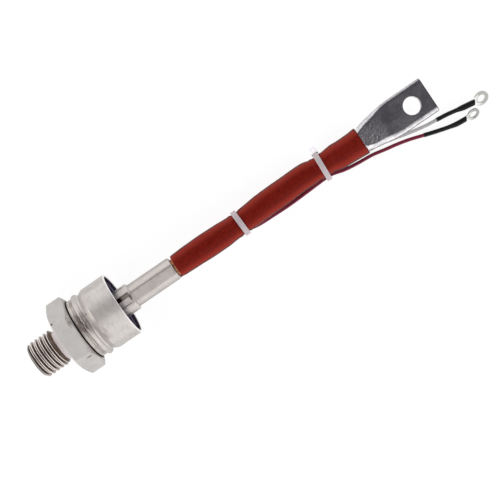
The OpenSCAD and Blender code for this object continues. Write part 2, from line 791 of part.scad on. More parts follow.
module lead_sleeve() {
    color([0.50, 0.10, 0.07])
        swept_tube(lead_route, sleeve_r, [for (r = sleeve_r) r - sleeve_wall], rope_sides,
            mouth_height = sleeve_mouth_height);
}

module terminal_lug() {
    flat_t = 2 * lug_wall;
    edge_y = palm_width / 2 - flat_t / 2;
    flare_x = lug_x + barrel_length;
    palm_x = flare_x + flare_length;
    end_x = palm_x + palm_length;
    slice = 0.1;
    color([0.66, 0.66, 0.68])
        translate([0, lug_y, lug_z])
            difference() {
                union() {
                    washer(lug_x, flare_x, barrel_d / 2, 0);
                    hull() {
                        washer(flare_x - slice, flare_x, barrel_d / 2, 0, $fn = 48);
                        translate([palm_x, -edge_y, -flat_t / 2]) cube([slice, 2 * edge_y, flat_t]);
                        for (side = [-1, 1])
                            rod_at([side * edge_y, 0], palm_x, palm_x + slice, flat_t, $fn = 24);
                    }
                    translate([palm_x, -edge_y, -flat_t / 2]) cube([end_x - palm_x, 2 * edge_y, flat_t]);
                    for (side = [-1, 1])
                        rod_at([side * edge_y, 0], palm_x, end_x, flat_t);
                }
                turned([
                    [0, lug_x - cut],
                    [lug_bore_r, lug_x - cut],
                    [lug_bore_r, flare_x - 2],
                    [0, flare_x + 2]]);
                translate([end_x - palm_hole_edge, 0, -flat_t]) cylinder(d = palm_hole_d, h = 2 * flat_t);
            }
}

// Strap outline round the sleeve and both wires, grown by a margin
module tie_outline(sleeve_radius, wires, margin) {
    hull() {
        circle(r = sleeve_radius + slide_gap + margin, $fn = 64);
        for (place = wires)
            translate(place) circle(r = wire_d / 2 + slide_gap + margin, $fn = 32);
    }
}

module cable_tie(at, slope, head_turn, wires) {
    sleeve_radius = 6;
    loop_r = sleeve_radius + slide_gap + tie_thickness;
    head_width = tie_width + 1.4;
    corner = 0.6;
    color([0.86, 0.84, 0.84])
        translate(at) rotate([0, slope, 0]) {
            rotate([90, 0, 90]) translate([0, 0, -tie_width / 2]) linear_extrude(tie_width)
                difference() {
                    tie_outline(sleeve_radius, wires, tie_thickness);
                    tie_outline(sleeve_radius, wires, 0);
                }
            rotate([head_turn, 0, 0]) {
                // Head with rounded corners, its window filled by the strap that passes it
                translate([0, loop_r - 0.4, 0]) rotate([-90, 0, 0]) linear_extrude(tie_head_height + 0.4)
                    hull()
                        for (x = [-1, 1], z = [-1, 1])
                            translate([x * (head_width / 2 - corner), z * (tie_head_length / 2 - corner)])
                                circle(r = corner, $fn = 24);
                // Cut tail of the strap
                translate([-tie_width / 2, loop_r + 0.6, -tie_head_length / 2 - tie_tail])
                    cube([tie_width, tie_thickness, tie_tail + 1]);
            }
        }
}

module cable_tie_near() {
    cable_tie(tie_near_at, tie_near_slope, tie_near_head, tie_near_wires);
}

module cable_tie_far() {
    cable_tie(tie_far_at, tie_far_slope, tie_far_head, tie_far_wires);
}

// Centreline of a control wire, its stripped core in the outlet tube and in the terminal's barrel
function cable_points(outlet, route, direction) =
    let (last = len(route) - 1, end = route[last])
    concat(
        [[outlet_end_x - core_reach, outlet[0], outlet[1]], [outlet_end_x - 0.05, outlet[0], outlet[1]],
            [outlet_end_x + 0.15, outlet[0], outlet[1]]],
        [for (i = [0 : last - 1]) route[i]],
        [end - core_bare * direction, end - 0.05 * direction, end + core_reach * direction]);

module control_cable(outlet, route, direction) {
    whole = cable_points(outlet, route, direction);
    last = len(whole) - 1;
    radii = [for (i = [0 : last]) (i < 2 || i > last - 2 ? core_d : wire_d) / 2];
    swept_rod(whole, radii, wire_sides);
}

function level_direction(turn) = [cos(turn), sin(turn), 0];

module gate_wire() {
    color([0.92, 0.91, 0.88]) control_cable(gate_outlet, gate_route, level_direction(gate_heading));
}

module control_wire() {
    color([0.52, 0.10, 0.18])
        control_cable(control_outlet, control_route, level_direction(control_heading));
}

// Shrink sleeve over a wire's last stretch and over the terminal's barrel
module shrink_sleeve(outlet, route, direction, barrel_d) {
    wire = cable_points(outlet, route, direction);
    last = len(wire) - 1;
    end = route[len(route) - 1];
    whole = concat([for (i = [0 : last - 1]) wire[i]],
        [end + (terminal_barrel_length - shrink_margin) * direction]);
    over_wire = wire_d / 2 + slide_gap;
    over_barrel = barrel_d / 2 / cos(180 / rope_sides) + slide_gap;
    inner = [for (i = [0 : last]) i < last - 2 ? over_wire : over_barrel];
    swept_tube(whole, [for (r = inner) r + shrink_wall], inner, rope_sides, last - 2 - shrink_stops);
}

module gate_shrink() {
    color([0.05, 0.05, 0.06])
        shrink_sleeve(gate_outlet, gate_route, level_direction(gate_heading), gate_barrel_d);
}

module control_shrink() {
    color([0.05, 0.05, 0.06])
        shrink_sleeve(control_outlet, control_route, level_direction(control_heading),
            control_barrel_d);
}

// Ring terminal, its barrel's back end on the wire's end point
module ring_terminal(end, turn, tilt, ring_d, hole_d, barrel_d) {
    sheet_z = -barrel_d / 2 + terminal_sheet / 2;
    tongue_x = terminal_barrel_length - shrink_margin + slide_gap;
    ring_x = terminal_barrel_length + terminal_neck + ring_d / 2;
    translate(end) rotate([0, 0, turn]) rotate([tilt, 0, 0])
        difference() {
            union() {
                along_x() cylinder(d = barrel_d, h = terminal_barrel_length);
                translate([ring_x, 0, sheet_z]) cylinder(d = ring_d, h = terminal_sheet);
                hull() {
                    translate([tongue_x, -barrel_d / 2 + 0.2, sheet_z])
                        cube([0.2, barrel_d - 0.4, terminal_sheet]);
                    translate([ring_x - ring_d / 4, -ring_d / 3, sheet_z])
                        cube([0.1, ring_d * 2 / 3, terminal_sheet]);
                }
            }
            translate([ring_x, 0, sheet_z - cut]) cylinder(d = hole_d, h = terminal_sheet + 2 * cut);
            along_x() translate([0, 0, -cut]) cylinder(d = core_d + 4 * slide_gap, h = core_reach + 0.3 + cut);
        }
}

module gate_terminal() {
    color([0.80, 0.80, 0.80])
        ring_terminal(gate_route[len(gate_route) - 1], gate_heading, gate_tilt,
            gate_ring_d, gate_ring_hole_d, gate_barrel_d);
}

module control_terminal() {
    color([0.80, 0.80, 0.80])
        ring_terminal(control_route[len(control_route) - 1], control_heading, control_tilt,
            control_ring_d, control_ring_hole_d, control_barrel_d);
}

stud_base();
weld_ring();
can_shell();
seal_glass();
outer_collar();
crimp_tube();
contact_post();
lower_disc();
silicon_wafer();
upper_disc();
centring_ring();
mica_washer();
thrust_washer();
spring_washer_1();
spring_washer_2();
spring_washer_3();
pressure_plate();
lock_ring();
stem_insulator();
gate_guide();
gate_pin();
gate_spring();
gate_lead();
control_lead();
gate_tube();
control_tube();
lead_rope();
lead_sleeve();
terminal_lug();
cable_tie_near();
cable_tie_far();
gate_wire();
control_wire();
gate_shrink();
control_shrink();
gate_terminal();
control_terminal();
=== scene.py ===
from math import atan2, cos, exp, hypot, pi, radians, sin
import bpy
from mathutils import Matrix, Vector


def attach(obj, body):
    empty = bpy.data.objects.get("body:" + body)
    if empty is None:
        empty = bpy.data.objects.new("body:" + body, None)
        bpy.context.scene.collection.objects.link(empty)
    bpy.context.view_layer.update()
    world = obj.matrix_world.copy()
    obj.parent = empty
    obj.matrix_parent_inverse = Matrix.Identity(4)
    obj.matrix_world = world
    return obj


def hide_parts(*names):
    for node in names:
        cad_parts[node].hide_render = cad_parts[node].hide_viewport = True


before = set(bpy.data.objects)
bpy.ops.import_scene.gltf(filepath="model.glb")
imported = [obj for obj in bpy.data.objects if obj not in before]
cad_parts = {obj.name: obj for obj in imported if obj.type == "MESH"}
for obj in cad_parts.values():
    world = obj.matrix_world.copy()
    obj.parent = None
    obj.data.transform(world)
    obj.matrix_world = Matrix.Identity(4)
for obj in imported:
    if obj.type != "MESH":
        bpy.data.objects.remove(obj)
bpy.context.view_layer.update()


# ---- sizes, in millimetres

MM = 0.001
TURN = 2 * pi

# Levels along the stud's axis, from the seating face towards the lead
STUD_END, THREAD_RUN_OUT = -18, -3.75
THREAD_START, THREAD_PITCH = -21.55, 2.5
HEX_TOP, CUP_FLOOR, CUP_TOP = 10.5, 11, 27.6
GROOVE_START, GROOVE_END = 25.25, 26.35
RING_TOP = 13.8
COLLAR_START, COLLAR_END = 28.5, 40.4
OUTLET_LEVEL = 36.6
TUBE_START, TUBE_END = 38.4, 65.5
LUG_START, LUG_END, BOLT_LEVEL = 168, 225, 214

# Sizes across the axis
THREAD_ROOT, THREAD_CREST = 8.6, 9.98
HEX_FLATS, HEX_CORNERS = 36, 20.785
CUP_RADIUS, CUP_BORE, GROOVE_RADIUS = 14.4, 13, 13.7
RING_RADIUS, RING_BORE = 16.4, 14.45
CAN_RADIUS, CAN_BORE, NECK_BORE = 17.4, 16.3, 14.6
COLLAR_RADIUS, COLLAR_BORE, COLLAR_FLATS = 7.5, 6.1, 14.3
TUBE_FLATS, SPIGOT_RADIUS, ROPE_BORE = 11.4, 6.05, 4.6
SLEEVE_WALL, SHRINK_WALL = 0.7, 0.22
WIRE_RADIUS = 0.95
LUG_Y, LUG_Z = -0.3, -10.7
LUG_BORE, BOLT_RADIUS = 4.95, 4.8
FLOOR_Z = -18.05


# ---- camera

CAMERA_PLACE, CAMERA_AIM = (92, 5, 460), (102, -14.2, 0)
CAMERA_ROLL, CAMERA_LENS, SENSOR_WIDTH = 34.4, 65.4, 36


def place_camera():
    """Looks straight down, the axis running up to the right"""
    place, aim = Vector(CAMERA_PLACE) * MM, Vector(CAMERA_AIM) * MM
    back = (place - aim).normalized()
    along = (Vector((1, 0, 0)) - back.x * back).normalized()
    across = back.cross(along)
    roll = radians(CAMERA_ROLL)
    right = cos(roll) * along - sin(roll) * across
    up = sin(roll) * along + cos(roll) * across
    turned_to = Matrix((right, up, back)).transposed().to_4x4()
    bpy.ops.object.camera_add()
    camera = bpy.context.object
    camera.name = "camera_above"
    camera.matrix_world = Matrix.Translation(place) @ turned_to
    camera.data.sensor_width = SENSOR_WIDTH
    camera.data.lens = CAMERA_LENS
    camera.data.clip_start = 0.01
    camera.data.clip_end = 20
    bpy.context.scene.camera = camera
    bpy.context.scene.view_settings.view_transform = "Standard"


place_camera()


# ---- modelling helpers

def deselect():
    if bpy.context.mode != "OBJECT":
        bpy.ops.object.mode_set(mode="OBJECT")
    bpy.ops.object.select_all(action="DESELECT")


def pick(piece):
    deselect()
    piece.select_set(True)
    bpy.context.view_layer.objects.active = piece


def edit(piece, select="SELECT"):
    pick(piece)
    bpy.ops.object.mode_set(mode="EDIT")
    bpy.ops.mesh.select_mode(type="VERT")
    bpy.ops.mesh.select_all(action=select)


def leave():
    bpy.ops.object.mode_set(mode="OBJECT")


def edit_edges(piece, wanted):
    """Opens a piece with the edges selected whose two ends pass a test"""
    edit(piece, "DESELECT")
    leave()
    for edge in piece.data.edges:
        edge.select = wanted(*(piece.data.vertices[i].co / MM for i in edge.vertices))
    bpy.ops.object.mode_set(mode="EDIT")
    bpy.ops.mesh.select_mode(type="EDGE")


def fix_place():
    bpy.ops.object.transform_apply(location=True, rotation=True, scale=True)


def name_piece(name):
    piece = bpy.context.object
    piece.name = piece.data.name = name
    return piece


def tidy(piece):
    edit(piece)
    bpy.ops.mesh.remove_doubles(threshold=0.002 * MM)
    bpy.ops.mesh.normals_make_consistent(inside=False)
    leave()


def clean_cuts(piece, size=0.02):
    """Takes out the slivers that cutting leaves"""
    edit(piece)
    bpy.ops.mesh.remove_doubles(threshold=size * MM)
    bpy.ops.mesh.dissolve_degenerate(threshold=size / 2 * MM)
    bpy.ops.mesh.dissolve_limited(angle_limit=radians(0.4))
    bpy.ops.mesh.normals_make_consistent(inside=False)
    leave()


def apply_all(piece):
    pick(piece)
    for modifier in list(piece.modifiers):
        bpy.ops.object.modifier_apply(modifier=modifier.name)


def outline(name, points, closed=False):
    deselect()
    bpy.ops.mesh.primitive_plane_add(size=MM)
    piece = name_piece(name)
    edit(piece)
    bpy.ops.mesh.merge(type="CENTER")
    bpy.ops.transform.translate(value=Vector(points[0]) * MM)
    ring = list(points) + ([points[0]] if closed else [])
    for last, point in zip(ring, ring[1:]):
        step = (Vector(point) - Vector(last)) * MM
        bpy.ops.mesh.extrude_vertices_move(TRANSFORM_OT_translate={"value": step})
    if closed:
        bpy.ops.mesh.select_all(action="SELECT")
        bpy.ops.mesh.remove_doubles(threshold=0.001 * MM)
    leave()
    return piece


def turned(name, profile, steps=96, closed=False):
    """Turned about the axis from points of level and radius"""
    piece = outline(name, [(x, 0, r) for x, r in profile], closed)
    edit(piece)
    bpy.ops.mesh.spin(steps=steps, angle=TURN, center=(0, 0, 0), axis=(1, 0, 0))
    leave()
    tidy(piece)
    return piece


def arc(centre, radius, start, end, steps):
    """Points of level and radius, angles counted from +X outwards"""
    angles = [radians(start + (end - start) * i / steps) for i in range(steps + 1)]
    return [(centre[0] + radius * cos(a), centre[1] + radius * sin(a)) for a in angles]


def disc(name, radius, thickness, centre, sides=64):
    deselect()
    bpy.ops.mesh.primitive_cylinder_add(
        vertices=sides, radius=radius * MM, depth=thickness * MM, location=Vector(centre) * MM)
    piece = name_piece(name)
    fix_place()
    return piece


def hexagon_bar(name, start, end, across_flats, turn=0):
    corners = across_flats / 2 / cos(radians(30))
    deselect()
    bpy.ops.mesh.primitive_cylinder_add(
        vertices=6, radius=corners * MM, depth=(end - start) * MM, rotation=(0, pi / 2, 0))
    piece = name_piece(name)
    fix_place()
    piece.rotation_euler.x = radians(turn)
    piece.location.x = (start + end) / 2 * MM
    fix_place()
    return piece


def block(name, low, high):
    deselect()
    bpy.ops.mesh.primitive_cube_add(size=1)
    piece = name_piece(name)
    piece.location = (Vector(low) + Vector(high)) / 2 * MM
    piece.scale = (Vector(high) - Vector(low)) * MM
    fix_place()
    return piece


def turn_about_axis(piece, degrees):
    pick(piece)
    piece.rotation_euler.x = radians(degrees)
    fix_place()


def seat(piece, place, *turns):
    """Moves a piece to a place and turns it there"""
    pick(piece)
    piece.matrix_world = Matrix.Translation(Vector(place) * MM)
    for degrees, axis in turns:
        piece.matrix_world = piece.matrix_world @ Matrix.Rotation(radians(degrees), 4, axis)
    fix_place()


def combine(piece, other, how):
    """Joins, cuts or intersects, and uses the other piece up"""
    change = piece.modifiers.new("shape", "BOOLEAN")
    change.operation = how
    change.solver = "EXACT"
    change.object = other
    apply_all(piece)
    bpy.data.objects.remove(other)


def soften(piece, width, angle=30, segments=2):
    edge = piece.modifiers.new("edge", "BEVEL")
    edge.width = width * MM
    edge.segments = segments
    edge.limit_method = "ANGLE"
    edge.angle_limit = radians(angle)
    edge.use_clamp_overlap = True
    apply_all(piece)


def hollow(piece, thickness):
    """Gives a closed tube of faces a wall towards the inside"""
    wall = piece.modifiers.new("wall", "SOLIDIFY")
    wall.thickness = thickness * MM
    wall.offset = -1
    apply_all(piece)
    tidy(piece)


def dress(piece, material):
    piece.data.materials.clear()
    piece.data.materials.append(MATERIAL[material])


def finish_piece(piece, material, slot, *nodes, angle=32):
    pick(piece)
    if piece.type == "MESH":
        bpy.ops.object.shade_smooth_by_angle(angle=radians(angle))
        even = piece.modifiers.new("even", "WEIGHTED_NORMAL")
        even.keep_sharp = True
        apply_all(piece)
    dress(piece, material)
    if nodes:
        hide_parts(*nodes)
    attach(piece, "root")
    return piece


def part_way(value, start, length):
    """0 up to start, 1 from start + length on"""
    return min(max((value - start) / length, 0), 1)


def bell(offset, width):
    """1 in the middle, 0 far to both sides"""
    return exp(-(offset / width) ** 2)


# ---- how materials are written

def reading_of(operation, reflected=False):
    """A reading's method for one operation"""
    if reflected:
        return lambda self, other: self.finish.maths(operation, other, self)
    return lambda self, *others: self.finish.maths(operation, self, *others)


class Reading:
    """A number or colour read over a surface"""

    def __init__(self, finish, socket):
        self.finish = finish
        self.socket = socket

    __add__ = __radd__ = reading_of("ADD")
    __mul__ = __rmul__ = reading_of("MULTIPLY")
    __sub__, __rsub__ = reading_of("SUBTRACT"), reading_of("SUBTRACT", True)
    __truediv__, __rtruediv__ = reading_of("DIVIDE"), reading_of("DIVIDE", True)
    __pow__, __abs__ = reading_of("POWER"), reading_of("ABSOLUTE")
    sine, fraction, most = reading_of("SINE"), reading_of("FRACT"), reading_of("MAXIMUM")

    def ramp(self, low, high, start=0, end=1):
        return self.finish.node("ShaderNodeMapRange", {"interpolation_type": "SMOOTHSTEP"}, {
            "Value": self, "From Min": low, "From Max": high, "To Min": start, "To Max": end})


class Finish:

    def __init__(self, name, metallic=0, roughness=0.5, **constants):
        self.material = bpy.data.materials.new(name)
        self.material.use_nodes = True
        self.tree = self.material.node_tree
        self.shader = self.tree.nodes["Principled BSDF"]
        self.shader.inputs["Metallic"].default_value = metallic
        self.shader.inputs["Roughness"].default_value = roughness
        for key, value in constants.items():
            self.shader.inputs[key.replace("_", " ")].default_value = value

    def node(self, kind, settings=None, values=None, output=0):
        """Any node, with its settings and its sockets' values or links"""
        made = self.tree.nodes.new(kind)
        for key, value in (settings or {}).items():
            setattr(made, key, value)
        for key, value in (values or {}).items():
            if isinstance(value, Reading):
                self.tree.links.new(value.socket, made.inputs[key])
            else:
                made.inputs[key].default_value = value
        return Reading(self, made.outputs[output])

    def maths(self, operation, *values):
        return self.node("ShaderNodeMath", {"operation": operation}, dict(enumerate(values)))

    def place(self):
        coords = self.node("ShaderNodeTexCoord", output="Object")
        return self.node("ShaderNodeVectorMath", {"operation": "SCALE"}, {0: coords, "Scale": 1 / MM})

    def parts_of(self, vector):
        split = self.node("ShaderNodeSeparateXYZ", {}, {0: vector})
        return [Reading(self, output) for output in split.socket.node.outputs]

    def vector(self, x=0, y=0, z=0):
        return self.node("ShaderNodeCombineXYZ", {}, {0: x, 1: y, 2: z})

    def attribute(self, name, output):
        return self.node("ShaderNodeAttribute", {"attribute_name": name}, output=output)

    def noise(self, vector, scale, detail=3, roughness=0.5, distortion=0):
        return self.node("ShaderNodeTexNoise", {}, {
            "Vector": vector, "Scale": scale, "Detail": detail, "Roughness": roughness,
            "Distortion": distortion})

    def mix(self, factor, first, second):
        first, second = (c if isinstance(c, Reading) else (*c, 1) for c in (first, second))
        return self.node("ShaderNodeMix", {"data_type": "RGBA"}, {0: factor, 6: first, 7: second}, 2)

    def mark(self, x, y, centre, wide, high):
        far = ((x - centre[0]) / wide) ** 2 + ((y - centre[1]) / high) ** 2
        return far.ramp(1, 0.35)

    def bump(self, height, strength, distance=0.1):
        made = self.node("ShaderNodeBump", {}, {
            "Height": height, "Strength": strength, "Distance": distance * MM})
        self.tree.links.new(made.socket, self.shader.inputs["Normal"])

    def shade(self, cloud, light, dark, smooth, rough):
        self.set(Base_Color=self.mix(cloud, light, dark), Roughness=cloud.ramp(0.3, 0.7, smooth, rough))

    def set(self, **links):
        for key, reading in links.items():
            self.tree.links.new(reading.socket, self.shader.inputs[key.replace("_", " ")])


class TurnedFinish(Finish):

    def __init__(self, name, metallic=0):
        super().__init__(name, metallic)
        self.x, self.y, self.z = self.parts_of(self.place())
        self.radius = (self.y * self.y + self.z * self.z) ** 0.5


class Plating(TurnedFinish):
    """Plating on which stains, painted shade and painted highlights are laid one over another"""

    def __init__(self, name, metallic=0):
        super().__init__(name, metallic)
        self.clouds = self.noise(self.place(), 0.16, 5, 0.6)
        self.grain = self.noise(self.place(), 2.6, 3, 0.6)

    def cover(self, mask, colour):
        self.colour = self.mix(mask, self.colour, colour)


# ---- nickel of can, ring, collar and tube

# GAP_SHADE is painted shade for the gaps between parts
SOOT, GAP_SHADE = (0.2, 0.14, 0.115), (0.035, 0.02, 0.02)


def nickel(name, light, dark, metallic, half_width):
    """Stained nickel plating, with painted shade towards its two sides"""
    plate = Plating(name, metallic)
    x, y, z = plate.x, plate.y, plate.z
    plate.top = z.ramp(3, 8)
    plate.blotch = plate.noise(plate.vector(x * 0.9, y * 0.3, z * 0.3), 1, 4, 0.65)
    stain = plate.clouds.ramp(0.38, 0.68) * 0.4 + plate.blotch.ramp(0.35, 0.7) * 0.35
    plate.colour = plate.mix(stain + plate.grain.ramp(0.3, 0.8) * 0.25, light, dark)
    # Painted shade: darker in two steps towards the two sides
    plate.cover(abs(y).ramp(half_width * 0.72, half_width * 0.9, 0, 0.3), (0.2, 0.19, 0.185))
    plate.cover(abs(y).ramp(half_width * 0.94, half_width, 0, 0.35), (0.16, 0.15, 0.145))
    return plate


def soot(plate):
    x, y = plate.x, plate.y
    across = y.ramp(-5, 1) * y.ramp(10, 5.5)
    return x.ramp(10.9, 11.2) * x.ramp(18.3, 15.5) * across * plate.blotch.ramp(0.32, 0.55) * 0.6


def shade_marks(plate, *marks):
    """Dark oval marks of painted shade, each with centre, half sizes and strength"""
    masks = [plate.mark(plate.x, plate.y, centre, wide, high) * strength
             for centre, wide, high, strength in marks]
    worst = masks[0]
    for mask in masks[1:]:
        worst = worst.most(mask)
    plate.cover(worst * plate.top * 0.8, (0.07, 0.045, 0.035))


def close_nickel(plate, smooth, rough, marks):
    lines = plate.noise(plate.vector(plate.x * 3.2, plate.y * 0.06, plate.z * 0.06), 1.5, 3, 0.55)
    gloss = (plate.clouds * 0.55 + plate.grain * 0.45).ramp(0.3, 0.7, smooth, rough)
    plate.set(Base_Color=plate.colour, Roughness=gloss)
    plate.bump(lines * marks + plate.grain * 0.35 + plate.clouds * 0.6, 0.35, 0.05)
    return plate


def can_finish():
    """Warm nickel outside, a painted highlight on the rim, and dark lacquer in the recess with painted shade
    deeper in
    """
    metallic = 0.75
    can = nickel("warm_nickel", (0.76, 0.72, 0.69), (0.55, 0.51, 0.48), metallic, CAN_RADIUS)
    x = can.x
    # Darker band over the neck's far wall and the conical shoulder
    shoulder = x.ramp(17.6, 18) * x.ramp(20.4, 19.4)
    can.cover(shoulder * 0.5, (0.3, 0.26, 0.235))
    pale = can.mark(x, can.y, (20.2, -5), 2.2, 7) * can.blotch.ramp(0.3, 0.6)
    can.cover((soot(can) + pale * 0.3) * can.top, SOOT)
    # Painted shade: dark marks at the bead and the neck
    shade_marks(can, ((15.1, 0.5), 0.5, 2.1, 1), ((14.5, 2.8), 0.45, 1.6, 1), ((17.8, 5.8), 0.5, 1.1, 0.6))
    inside = can.radius.ramp(16.75, 16.45) * x.ramp(33.7, 33.4) * x.ramp(21, 22)
    # Lacquer on the inner wall, lighter at the lip and darker deeper in the recess: painted shade
    shaded_lacquer = can.mix(x.ramp(31.3, 32.4), (0.42, 0.39, 0.54), (0.028, 0.019, 0.055))
    # Painted highlight along the rim's lip
    can.cover(x.ramp(33.2, 33.6), (0.93, 0.9, 0.88))
    can.cover(inside, shaded_lacquer)
    can.set(Metallic=inside.ramp(0, 1, metallic, 0))
    return close_nickel(can, 0.3, 0.44, 0.9)


def ring_finish():
    """Turned nickel with soot, and painted shade in one fine groove and in the corner against the hexagon"""
    ring = nickel("turned_nickel", (0.74, 0.69, 0.65), (0.4, 0.345, 0.31), 0.95, RING_RADIUS)
    ring.cover(soot(ring) * ring.top, SOOT)
    # Painted shade in the third fine groove
    ring.cover(abs(ring.x - 12.82).ramp(0.24, 0.1) * 0.65, (0.1, 0.075, 0.06))
    # Painted shade in the corner against the hexagon
    ring.cover(ring.x.ramp(11.05, 10.9), GAP_SHADE)
    return close_nickel(ring, 0.24, 0.38, 2)


def collar_finish():
    """Pressed nickel with painted shade in its crease, along the edges of both sides and in the crevice at
    its end
    """
    collar = nickel("pressed_nickel", (0.74, 0.69, 0.655), (0.58, 0.535, 0.5), 0.8, 7.6)
    # Painted shade in the crevice where the tube comes out
    shade_marks(collar, ((39.6, 0.2), 0.7, 2.2, 1))
    # Painted shade along the crease and along the edges of both sides
    crease_shade = abs(collar.y + 2.3).ramp(0.34, 0.14) * collar.z.ramp(4, 5.5)
    sides = abs(abs(collar.y) - 6.75).ramp(0.4, 0.2)
    along = collar.x.ramp(31.9, 32.3) * collar.x.ramp(38.6, 38.2)
    collar.cover(crease_shade.most(sides) * along * 0.65, (0.13, 0.115, 0.11))
    return close_nickel(collar, 0.26, 0.42, 0.5)


def tube_finish():
    """Crimped nickel with painted shade where it comes out of the collar and inside the collar's slot"""
    tube = nickel("crimped_nickel", (0.72, 0.67, 0.635), (0.56, 0.515, 0.48), 0.8, 5.9)
    # Painted shade in the crevice where the tube comes out of the collar
    shade_marks(tube, ((39.6, 0.2), 0.7, 2.2, 1))
    # Painted shade on the spigot under the collar, darkest deep in the slot
    tube.cover(tube.x.ramp(40.9, 39.6), tube.mix(tube.x.ramp(34.3, 35.8), GAP_SHADE, (0.55, 0.49, 0.43)))
    return close_nickel(tube, 0.26, 0.42, 0.5)


# ---- nickel of hexagon and thread

CREST_PHASE, ROOT_PHASE = 0.78, 0.22


def thread_colour(base):
    """Painted highlights on crests and roots and painted shade on the flanks, evened out towards the sides; a
    darker last turn; a faced end
    """
    x, y, radius = base.x, base.y, base.radius
    angle = base.maths("ARCTAN2", base.z, y)
    turns = (x - THREAD_START) / THREAD_PITCH - angle / TURN + base.grain * 0.05 + 0.225
    phase = turns.fraction()
    # Painted highlights on crests and roots, painted shade on the flanks, one flank darker than the other
    crest_highlights, root_highlights = abs(phase - CREST_PHASE).ramp(0.125, 0.085), abs(phase - ROOT_PHASE).ramp(0.11, 0.07)
    rising = phase.ramp(0.26, 0.32) * phase.ramp(0.7, 0.64)
    flank_shade = base.mix(rising, (0.19, 0.14, 0.125), (0.1, 0.072, 0.062))
    colour = base.mix(crest_highlights.most(root_highlights), flank_shade, (1, 0.9, 0.84))
    # Towards the sides the painted highlights and shade even out to grey
    colour = base.mix(abs(y).ramp(7, 9.5, 0, 0.5), colour, (0.5, 0.46, 0.44))
    # Dark brown over the last turn by the run-out, mottled
    dark_last_turn = x.ramp(-5.5, -5.1) * radius.ramp(10, 9.85) * base.clouds.ramp(0.2, 0.6, 0.55, 0.95)
    colour = base.mix(dark_last_turn, colour, (0.12, 0.075, 0.052))
    colour = base.mix(x.ramp(-16.3, -16.9) * 0.8, colour, (0.2, 0.19, 0.175))
    rings = base.noise(base.vector(radius * 2.2, x * 0.2), 1, 3, 0.6)
    faced = base.mix(rings.ramp(0.3, 0.7), (0.36, 0.345, 0.325), (0.22, 0.21, 0.195))
    return base.mix(x.ramp(STUD_END + 0.06, STUD_END + 0.01), colour, faced)


def base_finish():
    """Matt nickel stained beside the weld, with painted shade on the side flats and against the weld ring,
    and the thread's painted highlights and shade
    """
    base = Plating("milled_nickel")
    x, y, radius, clouds, grain = base.x, base.y, base.radius, base.clouds, base.grain
    dull = (clouds * 0.6 + grain * 0.4).ramp(0.35, 0.7)
    base.colour = base.mix(dull, (0.74, 0.715, 0.69), (0.64, 0.61, 0.585))
    weld = x.ramp(8.2, 9.8) * radius.ramp(18.2, RING_RADIUS) * clouds.ramp(0.35, 0.6)
    base.cover(weld * 0.55, (0.3, 0.245, 0.2))
    # Painted shade on the side flats
    base.cover(abs(y).ramp(10.2, 10.7, 0, 0.2), (0.2, 0.2, 0.2))
    # Painted shade on the face against the weld ring
    base.cover(x.ramp(HEX_TOP - 0.2, HEX_TOP - 0.05) * radius.ramp(17.2, 16.8), (0.03, 0.02, 0.015))
    top = base.z.ramp(8, 14)
    brown = base.mark(x, y, (9.3, 7), 1.1, 3.6).most(base.mark(x, y, (7.4, -12.3), 1.9, 0.45))
    base.cover(brown * top * clouds.ramp(0.25, 0.6) * 0.85, (0.17, 0.12, 0.09))
    # A small dark spot near a corner
    corner_spot = base.mark(x, y, (1.7, 11), 0.7, 0.55)
    base.cover(corner_spot * top, (0.06, 0.05, 0.05))
    base.cover(x.ramp(-0.1, -0.4), (0.8, 0.72, 0.73))
    # The thread's painted highlights and shade
    on_thread = x.ramp(THREAD_RUN_OUT + 0.1, THREAD_RUN_OUT - 0.05)
    base.cover(on_thread, thread_colour(base))
    gloss = (clouds * 0.5 + grain * 0.5).ramp(0.3, 0.7, 0.5, 0.64) - on_thread * 0.2
    base.set(Base_Color=base.colour, Metallic=on_thread.ramp(0, 1, 0.35, 0.85), Roughness=gloss)
    base.bump(grain * 0.4 + clouds * 0.6, 0.35, 0.05)
    return base


# ---- other materials

def sleeve_finish():
    """Varnished red-brown braid, with a painted reflection on its flanks and painted shade at its very sides
    and at its end
    """
    red = Finish("braided_sleeve", roughness=0.5, Specular_IOR_Level=0.12)
    turn_cos, turn_sin, along = red.parts_of(red.attribute("wrap", "Vector"))
    strands = red.maths("ARCTAN2", turn_sin, turn_cos) * 26
    lay = along * 4.6
    weave = (strands + lay).sine().most((strands - lay).sine())
    mottle = red.noise(red.place(), 0.55, 4, 0.6)
    speck = red.noise(red.place(), 3.2, 2, 0.7)
    tone = (weave * 0.25 + mottle * 0.8 + speck * 0.5).ramp(0.35, 1.25)
    side = abs(turn_cos)
    braid = red.mix(tone, (0.12, 0.0045, 0.002), (0.3, 0.0125, 0.0035))
    # Painted reflection: lighter red on the flanks
    braid = red.mix(side.ramp(0.35, 0.72, 0, 0.55), braid, (0.4, 0.028, 0.012))
    # Painted shade at the very sides
    braid = red.mix(side.ramp(0.86, 0.95, 0, 0.8), braid, (0.045, 0.006, 0.004))
    # Painted shade at the mouth
    braid = red.mix(along.ramp(181.6, 182.2, 0, 0.8), braid, (0.05, 0.005, 0.003))
    red.set(Base_Color=braid, Roughness=mottle.ramp(0.3, 0.7, 0.42, 0.58))
    red.bump(weave * 0.5 + speck * 0.4, 0.5, 0.12)
    return red


def copper_finish():
    copper = Finish("bare_copper", metallic=1)
    tarnish = copper.noise(copper.place(), 1.2, 4, 0.6)
    copper.shade(tarnish, (0.62, 0.28, 0.15), (0.25, 0.1, 0.06), 0.28, 0.5)
    copper.bump(copper.noise(copper.place(), 6, 2, 0.5), 0.3, 0.05)
    return copper


